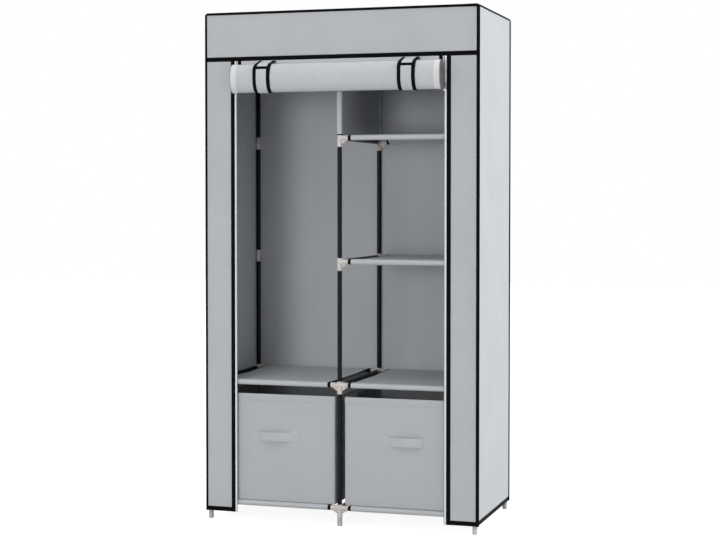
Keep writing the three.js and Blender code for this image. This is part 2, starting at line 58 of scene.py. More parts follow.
POSTS = [(row, column, x, y) for row, y in ROWS.items() for column, x in COLUMNS.items()]
FOOT_PROFILE = [(0.0062, 0.0), (0.0072, 0.0004), (0.0077, 0.0012), (0.0079, 0.0034), (0.0079, 0.0125),
                (0.0075, 0.0131), (0.0075, 0.0145), (0.0079, 0.0151), (0.0079, 0.0272), (0.0074, 0.0277),
                (0.0070, 0.0277), (0.0070, 0.038)]
FOOT_COLOUR, FOOT_GLOSS = (186, 185, 177), 0.5
SIDES = {"left": -1, "right": 1}
SHARP_ANGLE = 38.0


def tint(*colour, shade=1.0):
    """A colour of a screen, 0 to 255, as linear light: the power law of sRGB above its straight foot,
    times the shade."""
    share = np.array(colour) / 255
    light = np.where(share <= 0.04045, share / 12.92, ((share + 0.055) / 1.055) ** 2.4)
    return (*(shade * light).tolist(), 1.0)


def node(tree, kind, inputs=None, **settings):
    """A shader node. Each input, by name or number, is a value or another node's output."""
    made = tree.nodes.new("ShaderNode" + kind)
    for key, value in settings.items():
        setattr(made, key, value)
    for key, value in (inputs or {}).items():
        if isinstance(value, bpy.types.NodeSocket):
            tree.links.new(value, made.inputs[key])
        else:
            made.inputs[key].default_value = value
    return made


def blank(made):
    """The node tree of a new material or world, emptied."""
    made.use_nodes = True
    made.node_tree.nodes.clear()
    return made.node_tree


def look(name, slot, paint, *settings):
    """A material: paint(tree, settings) returns the inputs of its Principled shader. The slot is not used."""
    material = bpy.data.materials.new(name)
    tree = blank(material)
    node(tree, "OutputMaterial", {"Surface": node(tree, "BsdfPrincipled", paint(tree, *settings)).outputs[0]})
    return material


def noise(tree, where, scale, detail=2.0, roughness=0.5, distortion=0.0):
    """Even cloudy noise from 0 to 1 at a point, with so many grains to the metre."""
    return node(tree, "TexNoise", {"Vector": where, "Scale": scale, "Detail": detail,
                                   "Roughness": roughness, "Distortion": distortion}).outputs["Fac"]


def between(tree, share, low, high, start=0.0, end=1.0):
    """A number that goes from low to high as the share goes from start to end."""
    return node(tree, "MapRange", {0: share, 1: start, 2: end, 3: low, 4: high}).outputs[0]


def blended(tree, share, first, second):
    """A colour between two, by share: each is a colour of a screen, linear light or a node's output."""
    ends = [tint(*each) if isinstance(each, tuple) and len(each) == 3 else each for each in (first, second)]
    return node(tree, "Mix", {0: share, 6: ends[0], 7: ends[1]}, data_type="RGBA").outputs[2]


def reckon(tree, operation, first, second=0.0, third=0.0):
    """One sum of two or three numbers."""
    return node(tree, "Math", {0: first, 1: second, 2: third}, operation=operation).outputs[0]


def relief(tree, height, depth, under=None):
    """A bump of so many metres where the height goes from 0 to 1."""
    inputs = {"Height": height, "Distance": depth, "Strength": 1.0}
    if under is not None:
        inputs["Normal"] = under
    return node(tree, "Bump", inputs).outputs[0]


def place_of(tree):
    """The point itself, in the object's metres."""
    return node(tree, "TexCoord").outputs["Object"]


def moulded(tree, colour, gloss):
    """Moulded plastic: faint clouding of the colour, a fine spark-etched skin and rubbed patches."""
    where = place_of(tree)
    cloud = between(tree, noise(tree, where, 14.0, 3.0), 0.0, 1.0, 0.35, 0.7)
    return {"Base Color": blended(tree, cloud, colour, tint(*colour, shade=0.88)),
            "Roughness": between(tree, noise(tree, where, 60.0, 3.0), gloss - 0.07, gloss + 0.08, 0.3, 0.7),
            "Normal": relief(tree, noise(tree, where, 2600.0), 0.00004),
            "Subsurface Weight": 0.08, "Subsurface Scale": 0.004}


def lengths(path):
    """Distance along a path at each of its points."""
    return np.concatenate([[0], np.cumsum(np.linalg.norm(np.diff(path, axis=0), axis=1))])


def around(outline):
    """Distance round a closed outline at each of its points, and once more at the first."""
    return lengths(np.vstack([outline, outline[:1]]))


def unit(vectors):
    """Vectors of length one in the same directions."""
    return vectors / np.linalg.norm(vectors, axis=-1, keepdims=True)


def quads(u, v, wrap_rows=False, wrap_columns=False):
    """Faces of a grid: each takes points (i, j), (i+1, j), (i+1, j+1) and (i, j+1), with u by row and
    v by column. A wrapped side joins its last line to its first, and gives one value of u or v more."""
    rows, columns = len(u) - wrap_rows, len(v) - wrap_columns
    i, j = np.meshgrid(np.arange(len(u) - 1), np.arange(len(v) - 1), indexing="ij")
    i = np.stack([i, i + 1, i + 1, i], -1).reshape(-1, 4)
    j = np.stack([j, j, j + 1, j + 1], -1).reshape(-1, 4)
    return i % rows * columns + j % columns, np.stack([u[i], v[j]], -1)


def capped(faces, uv, rings, first, last):
    """The walls of a tube of rings, facing outwards, and a flat face over its first and its last ring,
    with the uv of each."""
    disc = np.arange(len(first))[None]
    return [(faces[:, ::-1], uv[:, ::-1]), (disc[:, ::-1], first[None, ::-1]),
            (disc + (rings - 1) * len(last), last[None])]


def turned(profile, centre, axis=(0, 0, 1), segments=32, hollow=False):
    """A solid of revolution: each (radius, height) of the profile, carried round the axis through the
    centre. A hollow one's profile closes on itself, and a solid one ends in a flat disc at each end."""
    axis = np.array(axis, float)
    first = np.roll(axis, 1) if axis.sum() > 0 else np.roll(axis, -1) * -1
    second = np.cross(axis, first)
    profile = np.array(profile, float)
    radius, height = profile.T
    angle = np.linspace(0, 2 * np.pi, segments + 1)
    ring = np.cos(angle[:-1])[:, None] * first + np.sin(angle[:-1])[:, None] * second
    points = radius[:, None, None] * ring + height[:, None, None] * axis + np.array(centre, float)
    along = around(profile) if hollow else lengths(profile)
    faces, uv = quads(along, angle * radius.max(), hollow, True)
    flat = ring[:, :2] * radius.max()
    found = capped(faces, uv, len(profile), flat, flat)
    return points.reshape(-1, 3), found[:1] if hollow else found


def placed(name, data):
    """A new object with this mesh, lamp or camera, in the scene."""
    made = bpy.data.objects.new(name, data)
    bpy.context.scene.collection.objects.link(made)
    return made


def assemble(name, surfaces, looks, body="frame_and_cover", stands_for=(), sharp=SHARP_ANGLE):
    """One piece from closed surfaces, each (points, faces with their corners' uv) and perhaps the number
    of its look: the points are stacked, the faces renumbered, and edges over the sharp angle stay crisp."""
    points, faces, corners, used, start = [], [], [], [], 0
    for where, found, *which in surfaces:
        for rows, uv in found:
            faces += (rows + start).tolist()
            corners.append(np.asarray(uv, float).reshape(-1, 2))
            used += (which or [0]) * len(rows)
        points.append(where)
        start += len(where)
    mesh = bpy.data.meshes.new(name)
    mesh.from_pydata(np.concatenate(points).tolist(), [], faces)
    mesh.uv_layers.new(name="UVMap").data.foreach_set("uv", np.concatenate(corners).ravel())
    mesh.polygons.foreach_set("material_index", np.array(used, np.int32))
    mesh.polygons.foreach_set("use_smooth", np.ones(len(faces), bool))
    mesh.set_sharp_from_angle(angle=math.radians(sharp))
    for each in looks:
        mesh.materials.append(each)
    piece = placed(name, mesh)
    if body:
        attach(piece, body)
    if stands_for:
        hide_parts(*stands_for)
    return piece


foot_plastic = look("foot_plastic", "foot_plastic", moulded, FOOT_COLOUR, FOOT_GLOSS)
for row, column, x, y in POSTS:
    assemble(f"foot_plug_{row}_{column}", [turned(FOOT_PROFILE, (x, y, 0))], [foot_plastic],
             stands_for=[f"foot_{row}_{column}"])

# Posts. Six uprights of 14 mm steel tube, each in four lengths that meet inside the connectors.
# Cold-rolled and enamelled black; on the two left posts plain collars join the middle lengths.
LEVELS = {"base": 0.056, "lower": 0.438925, "middle": 0.82185, "upper": 1.204775, "top": 1.5877}
TUBE_RADIUS, TUBE_WALL, TUBE_LIP = 0.007, 0.0008, 0.0004
POST_ENDS, POST_GAP = [0.0383, LEVELS["lower"], LEVELS["middle"], LEVELS["upper"], 1.5789], 0.0006
TUBE_COLOUR, TUBE_WORN = (6, 6, 8), (24, 24, 27)
PLASTIC_COLOUR, PLASTIC_GLOSS = (206, 199, 195), 0.44
COLLAR_HALF, COLLAR_RADIUS, COLLAR_BORE, COLLAR_EASE, COLLAR_PROUD = 0.020, 0.0080, 0.0072, 0.0004, 0.0003
COLLAR_BAND, COLLAR_SLOPE = 0.0016, 0.0021


def enamel(tree):
    """Baked black enamel: a low orange peel, clear gloss and thin rubbed streaks along the tube."""
    where = place_of(tree)
    streak = noise(tree, node(tree, "Mapping", {"Vector": where, "Scale": (260, 260, 14)}).outputs[0], 1.0, 3.0)
    rubbed = between(tree, streak, 0.0, 0.5, 0.62, 0.8)
    return {"Base Color": blended(tree, rubbed, TUBE_COLOUR, TUBE_WORN),
            "Roughness": between(tree, noise(tree, where, 45.0, 3.0), 0.3, 0.42, 0.3, 0.7),
            "Normal": relief(tree, noise(tree, where, 420.0), 0.00003), "Specular IOR Level": 0.13}


def tube(start, end, centre, axis):
    """A cut tube: outer wall up, a turned-in lip at each end, and the inner wall back."""
    r, w, c = TUBE_RADIUS, TUBE_WALL, TUBE_LIP
    profile = [(r - w, start), (r - c, start), (r, start + c), (r, end - c), (r - c, end), (r - w, end)]
    return turned(profile, centre, axis, hollow=True)


def mirrored(half):
    """A profile that is the same below its middle as above it, from its upper half with the end first."""
    return [(radius, -height) for radius, height in half] + half[::-1]


tube_enamel = look("tube_enamel", "frame_tube", enamel)
connector_plastic = look("connector_plastic", "foot_plastic", moulded, PLASTIC_COLOUR, PLASTIC_GLOSS)
collar = mirrored([(COLLAR_BORE, COLLAR_HALF), (COLLAR_RADIUS - COLLAR_PROUD, COLLAR_HALF),
                   (COLLAR_RADIUS, COLLAR_HALF - COLLAR_EASE), (COLLAR_RADIUS, COLLAR_SLOPE),
                   (COLLAR_RADIUS + COLLAR_PROUD, COLLAR_BAND)])
for row, column, x, y in POSTS:
    assemble(f"post_lengths_{row}_{column}",
             [tube(a + POST_GAP / 2, b - POST_GAP / 2, (x, y, 0), (0, 0, 1))
              for a, b in zip(POST_ENDS, POST_ENDS[1:])],
             [tube_enamel], stands_for=[f"post_{row}_{column}"])
    for level in ("middle", "upper") if column == "left" else ():
        assemble(f"collar_{row}_{level}", [turned(collar, (x, y, LEVELS[level]), hollow=True)],
                 [connector_plastic])

# Cross tubes from front to rear, and their connectors: a sleeve moulded in warm white plastic with an
# arm for each tube, a lip at each mouth and a triangular web under each arm. All are pushed together.
LEFT_LEVELS = ("base", "lower", "top")
ARM, RISE, CONNECTOR_RADIUS, BODY_RADIUS, BORE, SOCKET_FLOOR = 0.028, 0.011, 0.0085, 0.0080, 0.0073, 0.0085
LIP, LIP_SLOPE, MOUTH_EASE, RISE_LIP, RISE_SLOPE = 0.0033, 0.0006, 0.0005, 0.0022, 0.0005
CAP = [(0.0080, -0.004), (0.0080, 0.0066), (0.0073, 0.0079), (0.0050, 0.0084)]
WEB_HALF, WEB_OUT, WEB_DOWN, WEB_ROOT, WEB_SHARE = 0.0013, 0.0240, 0.0190, 0.006, 0.98
CUT_OVER, TUBE_END, CONNECTOR_SEGMENTS, CONNECTOR_SHARP = 0.002, 0.0002, 36, 32


def spun(profile, axis):
    """A solid of revolution about the connector's own centre."""
    return turned(profile, (0, 0, 0), axis, CONNECTOR_SEGMENTS)


def arm_profile(mouth, lip=LIP, slope=LIP_SLOPE):
    """Outside of an arm: the plain body, then a step up to the lip, with eased edges at the mouth."""
    b, r = BODY_RADIUS, CONNECTOR_RADIUS
    return [(b, 0.0), (b, mouth - lip - slope), (r, mouth - lip), (r, mouth - MOUTH_EASE),
            (r - MOUTH_EASE, mouth)]


def prisms(outlines, across):
    """Flat blocks: each outline of points, carried across to both sides."""
    blocks, count = outlines.shape[:2]
    ring = np.arange(count)
    after = (ring + 1) % count
    starts = (np.arange(blocks) * 2 * count)[:, None, None]
    walls = np.stack([ring, after, after + count, ring + count], -1)
    found = [((walls + starts).reshape(-1, 4), np.zeros((blocks * count, 4, 2)))]
    found += [(cap + starts[:, 0], np.zeros((blocks, count, 2))) for cap in (ring[::-1], ring + count)]
    return np.concatenate([outlines - across, outlines + across], 1).reshape(-1, 3), found


def web(axis):
    """A flat triangular web between the arm's underside and the sleeve, whose root is inside them."""
    out = np.array(axis, float)
    wall = BODY_RADIUS * WEB_SHARE
    places = [(WEB_ROOT, WEB_ROOT), (WEB_OUT, WEB_ROOT), (WEB_OUT, wall), (wall, WEB_DOWN),
              (WEB_ROOT, WEB_DOWN)]
    corners = np.array([out * far - (0, 0, down) for far, down in places])
    return prisms(corners[None], np.cross(out, (0, 0, 1)) * WEB_HALF)


def united(body, added, cuts):
    """The union of a solid with others, less the cuts, as a plain surface."""
    solids = []
    for points, found in [body, *added, *cuts]:
        mesh = bpy.data.meshes.new("solid")
        mesh.from_pydata(points.tolist(), [], [face for rows, _ in found for face in rows.tolist()])
        solids.append(placed("solid", mesh))
    for number, tool in enumerate(solids[1:]):
        step = solids[0].modifiers.new("step", "BOOLEAN")
        step.object, step.solver = tool, "EXACT"
        step.operation = "UNION" if number < len(added) else "DIFFERENCE"
    shaped = bpy.data.meshes.new_from_object(solids[0].evaluated_get(bpy.context.evaluated_depsgraph_get()))
    points = np.empty(len(shaped.vertices) * 3)
    shaped.vertices.foreach_get("co", points)
    faces = [(np.array([face.vertices[:]]), np.zeros((1, len(face.vertices), 2))) for face in shaped.polygons]
    for each in solids:
        bpy.data.objects.remove(each)
    bpy.data.meshes.remove(shaped)
    return points.reshape(-1, 3), faces


def connector(sides, top):
    """A front connector about its own centre: sleeve, arm to the rear and arms to the sides."""
    axes = [(0, 1, 0)] + [(side, 0, 0) for side in sides]
    added = [spun(arm_profile(ARM), axis) for axis in axes] + [web(axis) for axis in axes]
    added.append(spun(CAP if top else arm_profile(RISE, RISE_LIP, RISE_SLOPE), (0, 0, 1)))
    start = -SOCKET_FLOOR if top else RISE + CUT_OVER
    cuts = [spun([(BORE, -ARM - CUT_OVER), (BORE, start)], (0, 0, 1))]
    cuts += [spun([(BORE, SOCKET_FLOOR), (BORE, ARM + CUT_OVER)], axis) for axis in axes]
    return united(spun(arm_profile(ARM), (0, 0, -1)), added, cuts)


kinds = {}
for level, z in LEVELS.items():
    for column, x in COLUMNS.items():
        on_left = level in LEFT_LEVELS
        if column == "left" and not on_left:
            continue
        sides = (-1,) * (column == "right" or (column == "centre" and on_left)) + (1,) * (column != "right")
        kind = (sides, level == "top")
        if kind not in kinds:
            kinds[kind] = connector(*kind)
        points, faces = kinds[kind]
        for row, y in ROWS.items():
            flip = row == "rear"
            surface = (points * (1, -1 if flip else 1, 1) + (x, y, z),
                       [(rows[:, ::-1], uv) for rows, uv in faces] if flip else faces)
            assemble(f"connector_{level}_{column}_{row}", [surface], [connector_plastic],
                     stands_for=[f"rung_{level}_{column}"], sharp=CONNECTOR_SHARP)
        inset = SOCKET_FLOOR + TUBE_END
        assemble(f"cross_tube_{level}_{column}", [tube(FRONT + inset, REAR - inset, (x, 0, z), (0, 1, 0))],
                 [tube_enamel], stands_for=[f"rung_{level}_{column}"])

# Top tubes and hanging rail. Enamelled 14 mm tubes from side to side; the rail hangs between two tees
# that slide on the top cross tubes of the left bay, and its tees are the connectors' plastic.
BAYS = {"left": (COLUMNS["left"], 0.0), "right": (0.0, COLUMNS["right"])}
TEE_HALF, TEE_FLOOR, RAIL_INSET, SIDE_INSET = 0.024, 0.0075, 0.008, 0.0088
RAIL_Y = (FRONT + REAR) / 2
TOP_Z = LEVELS["top"]


def side_tubes(bay, rows, z):
    """Tubes from side to side across a bay, between the floors of their sockets."""
    a, b = BAYS[bay]
    return [tube(a + SIDE_INSET, b - SIDE_INSET, (0, y, z), (1, 0, 0)) for y in rows]


for row, y in ROWS.items():
    for bay in BAYS:
        assemble(f"top_rail_{row}_{bay}", side_tubes(bay, [y], TOP_Z), [tube_enamel],
                 stands_for=[f"top_tube_{row}_{bay}"])

a, b = BAYS["left"]
assemble("hanging_rail_tube", [tube(a + RAIL_INSET, b - RAIL_INSET, (0, RAIL_Y, TOP_Z), (1, 0, 0))],
         [tube_enamel], stands_for=["hanging_rail"])
barrel = mirrored([(CONNECTOR_RADIUS - MOUTH_EASE, TEE_HALF), (CONNECTOR_RADIUS, TEE_HALF - MOUTH_EASE),
                   (CONNECTOR_RADIUS, TEE_HALF - LIP), (BODY_RADIUS, TEE_HALF - LIP - LIP_SLOPE)])
for name, side, x in (("left", 1, a), ("centre", -1, b)):
    points, faces = united(spun(barrel, (0, 1, 0)), [spun(arm_profile(ARM), (side, 0, 0))],
                           [spun([(BORE, -TEE_HALF - CUT_OVER), (BORE, TEE_HALF + CUT_OVER)], (0, 1, 0)),
                            spun([(BORE, TEE_FLOOR), (BORE, ARM + CUT_OVER)], (side, 0, 0))])
    assemble(f"rail_tee_{name}", [(points + (x, RAIL_Y, TOP_Z), faces)], [connector_plastic],
             stands_for=["hanging_rail"], sharp=CONNECTOR_SHARP)

# Shelves. Each is one width of grey non-woven polypropylene with a sleeve sewn at the front and the
# rear, through which a cross tube runs. Black tape binds its side edges and the mouths of the sleeves.
CLOTH_COLOUR, CLOTH_SHADE, DIMPLE_COLOUR = (189, 192, 196), (184, 188, 192), (70, 72, 76)
BINDING_COLOUR, BINDING_THREAD, BINDING_PITCH, BINDING_SHINE = (7, 7, 9), (26, 26, 29), 0.0009, 0.06
CLOTH_WRINKLE, CLOTH_CREASE, DOT_PITCH, TAPE_LIP = 0.0004, 15.0, 0.0013, 0.0004
STITCH_PITCH, STITCH_SHARE, STITCH_INSET = 0.0034, 0.7, 0.0022
SHELF_CLOTH, SLEEVE_MIDDLE, SHELF_SAG, SEAM_GAP = 0.0011, 0.00775, 0.0035, 0.0006
SLEEVE_SETBACK, SHELF_BINDING, BINDING_HALF, BINDING_PROUD = 0.032, 0.0066, 0.0007, 0.0006
SEAM_REACH, SLEEVE_STEPS, DECK_STEPS, SHELF_COLUMNS, SHELF_STEP = 0.026, 22, 34, 26, 0.016
FRONT_WRAP, REAR_WRAP, SAG_POWER = (-32, -270), (90, -148), 0.8
RUMPLE, RUMPLE_CLEAR, RUMPLE_WIDE, RUMPLE_NARROW, RUMPLE_SHIFT = 0.0011, 0.03, (9, -17), (21, 13), 40


def nonwoven(tree, colour, shade, wrinkle, crease):
    """Spun-bonded cloth: rows of small welded dimples, loose fibres, soft clouds and shallow wrinkles."""
    flat, where = node(tree, "UVMap").outputs[0], place_of(tree)
    slanted = node(tree, "Mapping", {"Vector": flat, "Rotation": (0, 0, math.pi / 4),
                                     "Scale": (1 / DOT_PITCH,) * 3}).outputs[0]
    cell = node(tree, "TexVoronoi", {"Vector": slanted, "Scale": 1.0, "Randomness": 0.0},
                voronoi_dimensions="2D").outputs["Distance"]
    dimple = between(tree, cell, 1.0, 0.0, 0.2, 0.36)
    fibre = noise(tree, flat, 2400.0, 2.0, 0.6, 0.5)
    patch = noise(tree, where, 120.0, 3.0)
    cloud = reckon(tree, "MULTIPLY", noise(tree, where, 5.0, 3.0), 0.5)
    tone = between(tree, reckon(tree, "MULTIPLY_ADD", patch, 0.5, cloud), 0.0, 1.0, 0.4, 0.6)
    base = blended(tree, tone, colour, shade)
    fold = relief(tree, noise(tree, where, crease, 3.0, 0.5, 0.8), wrinkle * 4)
    weave = reckon(tree, "SUBTRACT", reckon(tree, "MULTIPLY", fibre, 0.6), dimple)
    return {"Base Color": blended(tree, reckon(tree, "MULTIPLY", dimple, 0.1), base, DIMPLE_COLOUR),
            "Normal": relief(tree, weave, 0.00007, fold),
            "Roughness": between(tree, patch, 0.78, 0.92, 0.3, 0.7),
            "Sheen Weight": 0.12, "Sheen Roughness": 0.5, "Specular IOR Level": 0.35}


def ribs(tree, place, pitch):
    """Even ribs across a direction: 0 and 1 by turns, at every half pitch."""
    return reckon(tree, "PINGPONG", reckon(tree, "DIVIDE", place, pitch / 2), 1.0)


def stitches(tree, parts, inset):
    """A row of lock stitches at a distance from the middle line of the tape: 1 on the thread, 0 off it."""
    off = reckon(tree, "ABSOLUTE", reckon(tree, "SUBTRACT", reckon(tree, "ABSOLUTE", parts.outputs[1]), inset))
    line = between(tree, off, 1.0, 0.0, 0.0002, 0.0004)
    step = ribs(tree, parts.outputs[0], STITCH_PITCH)
    return reckon(tree, "MULTIPLY", line, between(tree, step, 1.0, 0.0, STITCH_SHARE, STITCH_SHARE + 0.12))


def tape_weave(tree, colour, thread, pitch, inset, shine):
    """Woven edge tape: fine cross ribs, a row of stitches beside its inner edge, and faint lint."""
    flat = node(tree, "UVMap").outputs[0]
    parts = node(tree, "SeparateXYZ", {0: flat})
    lint = noise(tree, flat, 900.0)
    sewn = stitches(tree, parts, inset)
    lighter = tuple(part + 9 for part in colour)
    base = blended(tree, between(tree, lint, 0.0, 0.5, 0.45, 0.8), colour, lighter)
    rib = reckon(tree, "MULTIPLY", ribs(tree, parts.outputs[0], pitch), 0.6)
    return {"Base Color": blended(tree, sewn, base, thread),
            "Normal": relief(tree, reckon(tree, "MULTIPLY_ADD", sewn, 2.5, rib), 0.0001),
            "Roughness": between(tree, lint, 0.7, 0.86), "Specular IOR Level": shine}


def grid(x, y, z):
    """A grid of points from their coordinates, each a number, a row, a column or a whole table."""
    return np.stack(np.broadcast_arrays(x, y, z), -1).astype(float)


def slab(middle, thickness, u, v):
    """Closed cloth of a thickness: the grid's points go half of it along their normals, forward and back,
    where a normal is the cross product of the steps along rows and columns, and quads join the rim."""
    normal = unit(np.cross(np.gradient(middle, axis=0), np.gradient(middle, axis=1)))
    offset = normal * np.broadcast_to(thickness, middle.shape[:2])[..., None] / 2
    rows, columns = middle.shape[:2]
    faces, uv = quads(u, v)
    number = np.arange(rows * columns).reshape(rows, columns)
    ring = np.concatenate([number[:-1, 0], number[-1, :-1], number[:0:-1, -1], number[0, :0:-1]])
    after = np.roll(ring, -1)
    rim = np.stack([after, ring, ring + number.size, after + number.size], -1)
    place = np.stack([u[ring // columns], v[ring % columns]], -1)
    place_after = np.roll(place, -1, axis=0)
    found = [(faces, uv), (faces[:, ::-1] + number.size, uv[:, ::-1]),
             (rim, np.stack([place_after, place, place, place_after], 1))]
    return np.concatenate([(middle + offset).reshape(-1, 3), (middle - offset).reshape(-1, 3)]), found


def swept(path, side, section, centred_seam=False, scale=1.0):
    """A closed outline carried along a path: its first number goes along the side direction made square
    to the path, its second along the cross product of the path's direction and that side. Flat ends.
    The scale is one number, or one for each point of the path."""
    path, section = np.asarray(path, float), np.asarray(section, float)
    along = unit(np.gradient(path, axis=0))
    side = np.broadcast_to(np.asarray(side, float), path.shape)
    side = unit(side - along * (side * along).sum(1, keepdims=True))
    third = np.cross(along, side)
    size = np.broadcast_to(scale, len(path))[:, None, None]
    points = path[:, None] + size * (section[:, 0, None] * side[:, None] + section[:, 1, None] * third[:, None])
    v = around(section)
    faces, uv = quads(lengths(path), v - v[-1] / 2 if centred_seam else v, False, True)
    return points.reshape(-1, 3), capped(faces, uv, len(path), section, section)


def folded_tape(width, half):
    """Outline of a tape folded over an edge: a round nose at the edge, two flat sides, eased inner lips."""
    nose = np.linspace(-np.pi / 2, 0, 5)
    ease = min(half, TAPE_LIP)
    right = [(half * math.cos(t), half + half * math.sin(t)) for t in nose]
    right += [(half, width - ease), (half - ease, width)]
    return right + [(-x, y) for x, y in right[:0:-1]]


def arc_points(centre, radius, start, end, steps):
    """Points of a circle between two angles, in degrees."""
    angle = np.radians(np.linspace(start, end, steps))
    return np.stack([centre[0] + radius * np.cos(angle), centre[1] + radius * np.sin(angle)], -1)


def sampled(marks, places, values):
    """Rows of values that are known at places, read between them at the marks."""
    return np.stack([np.interp(marks, places, column) for column in np.asarray(values).T], -1)


def evenly(path, step):
    """The same broken line with points added, so that no step along it is longer than this."""
    length = lengths(path)
    marks = [np.linspace(a, b, max(2, math.ceil((b - a) / step) + 1))[:-1] for a, b in zip(length, length[1:])]
    return sampled(np.append(np.concatenate(marks), length[-1]), length, path)


def bound_rows(middle, axis, width, first=1, proud=0.0):
    """Tape folded over the first and last rows of a sheet. The two run opposite ways, the first in the
    order given, and each is moved out of the sheet, along the axis, by how far it stands proud."""
    bands = []
    for row, order in ((0, first), (-1, -first)):
        normal = np.cross(axis, np.gradient(middle[row], axis=0))
        line = middle[row] - order * proud * np.array(axis)
        bands.append(swept(line[::order], normal[::order], folded_tape(width, BINDING_HALF), True))
    return bands


cover_cloth = look("cover_cloth", "cover_cloth", nonwoven, CLOTH_COLOUR, CLOTH_SHADE,
                   CLOTH_WRINKLE, CLOTH_CREASE)
binding_tape = look("binding_tape", "cover_cloth", tape_weave, BINDING_COLOUR, BINDING_THREAD,
                    BINDING_PITCH, BINDING_HALF + STITCH_INSET, BINDING_SHINE)
for level, z in LEVELS.items():
    for bay, (a, b) in BAYS.items():
        if level == "top" or (bay == "left" and level not in LEFT_LEVELS):
            continue
        start, end = a + SLEEVE_SETBACK, b - SLEEVE_SETBACK
        front_turn = arc_points((FRONT, z), SLEEVE_MIDDLE, *FRONT_WRAP, SLEEVE_STEPS)
        rear_turn = arc_points((REAR, z), SLEEVE_MIDDLE, *REAR_WRAP, SLEEVE_STEPS)
        deck_y = np.linspace(FRONT, REAR, DECK_STEPS)[1:-1]
        share = (deck_y - FRONT) / (REAR - FRONT)
        deck = np.stack([deck_y, z + SLEEVE_MIDDLE - SHELF_SAG * np.sin(np.pi * share) ** SAG_POWER], -1)
        under = z + SLEEVE_MIDDLE - SHELF_CLOTH - SEAM_GAP
        path = evenly(np.concatenate([[(FRONT + SEAM_REACH, under)], front_turn, deck, rear_turn,
                                      [(REAR - SEAM_REACH, under)]]), SHELF_STEP)
        v = lengths(path)
        u = np.linspace(0, end - start, SHELF_COLUMNS)
        middle = grid((start + u)[:, None], *path.T)
        on_deck = (path[:, 0] > FRONT + RUMPLE_CLEAR) & (path[:, 0] < REAR - RUMPLE_CLEAR) & (path[:, 1] > z)
        narrow, wide = [u[:, None] * per_x + path[:, 0] * per_y
                        for per_x, per_y in (RUMPLE_NARROW, RUMPLE_WIDE)]
        middle[..., 2] += RUMPLE * np.sin(narrow) * np.sin(wide + z * RUMPLE_SHIFT) * on_deck
        shelf = assemble(f"shelf_cloth_{level}_{bay}", [slab(middle, SHELF_CLOTH, u, v)], [cover_cloth],
                         stands_for=[f"shelf_{level}_{bay}"])
        binding = assemble(f"shelf_binding_{level}_{bay}",
                           bound_rows(middle, (1, 0, 0), SHELF_BINDING, proud=BINDING_PROUD), [binding_tape])
        assemble(f"sleeve_tubes_{level}_{bay}", side_tubes(bay, ROWS.values(), z), [tube_enamel],
                 stands_for=[f"shelf_{level}_{bay}"])

# Divider. A panel of the same cloth between the two bays, above the upper shelf: its two sleeves slip
# over the centre posts before the top connectors go on, and black tape binds its top and bottom.
DIVIDER_BOTTOM, DIVIDER_TOP, DIVIDER_CLOTH, DIVIDER_SLEEVE = 1.216075, 1.5557, 0.0011, 0.00805
DIVIDER_BINDING, DIVIDER_STEP, DIVIDER_ROWS = 0.0036, 0.012, 28
SLEEVE_SEAM, LAP_X, SHEET_X, SLEEVE_WRAP = 0.024, 0.0014, -0.0002, (83, -263)
DIVIDER_WAVE, DIVIDER_CALM, DIVIDER_FADE, DIVIDER_FLAT = 0.0022, 0.02, 0.08, 0.001
WAVES_UP, WAVES_ALONG, WRAP_STEPS = 19, 11, 40
half_turn = arc_points((0, 0), DIVIDER_SLEEVE, *SLEEVE_WRAP, WRAP_STEPS)
front_seam, rear_seam = FRONT + SLEEVE_SEAM, REAR - SLEEVE_SEAM
plan = evenly(np.concatenate([[(LAP_X, front_seam)], half_turn + (0, FRONT),
                              [(SHEET_X, front_seam), (SHEET_X, rear_seam)],
                              half_turn[::-1] * (1, -1) + (0, REAR), [(LAP_X, rear_seam)]]), DIVIDER_STEP)
v = lengths(plan)
u = np.linspace(0, DIVIDER_TOP - DIVIDER_BOTTOM, DIVIDER_ROWS)
middle = grid(*plan.T, (DIVIDER_BOTTOM + u)[:, None])
from_seam = np.minimum(plan[:, 1] - front_seam, rear_seam - plan[:, 1])
inner = np.clip((from_seam - DIVIDER_CALM) / DIVIDER_FADE, 0, 1) * (np.abs(plan[:, 0]) < DIVIDER_FLAT)
middle[..., 0] += DIVIDER_WAVE * inner * np.sin(u[:, None] * WAVES_UP + plan[:, 1] * WAVES_ALONG)
divider = assemble("divider_cloth", [slab(middle, DIVIDER_CLOTH, u, v)], [cover_cloth],
                   stands_for=["divider_panel"])
divider_binding = assemble("divider_binding", bound_rows(middle, (0, 0, 1), DIVIDER_BINDING, -1),
                           [binding_tape])

# Cover. A box of grey non-woven cloth, open at the floor, sewn from a top, a back and two sides: corded
# piping in its long seams, black tape folded over its hem. It drops over the frame, which it fits closely.
COVER_X, FACE_Y, BACK_Y, COVER_TOP, HEM_Z, COVER_CLOTH = 0.441, -0.193172, 0.251828, 1.598, 0.026, 0.0014
PIPING_INSET, PIPING_BEND, PIPING_STEP = 0.000825, 0.006, 0.05
# The front cord is drawn thicker at the right than at the left; part of the extra black there is painted shade.
PIPING_RADII = {"left": 0.0039, "top": 0.0042, "right": 0.0054, "rear": 0.0044, "side": 0.0031}
PIPING_SWELL, PIPING_NARROW, SIDE_PIPING_START, PIPING_TUCK = 0.04, 0.01, 0.010, 0.0018
HEM_WIDTH, HEM_HALF, HEM_STEP = 0.0142, 0.0015, 0.06
PANEL_CELL, SLACK_LIMIT, PIPING_SHARP = 0.011, 0.0004, 50
WAVE_COUNT, WAVE_PITCHES, WAVE_LEAN, WAVE_LENGTH, WAVE_EVEN = 9, (2.0, 15.0), (1.0, 0.35), 1.6, 3
TOP_WAVES, BACK_WAVES, SIDE_WAVES = 0.0012, 0.0024, 0.0022
TOP_SEED, BACK_SEED, SIDE_SEED = 3, 7, 12


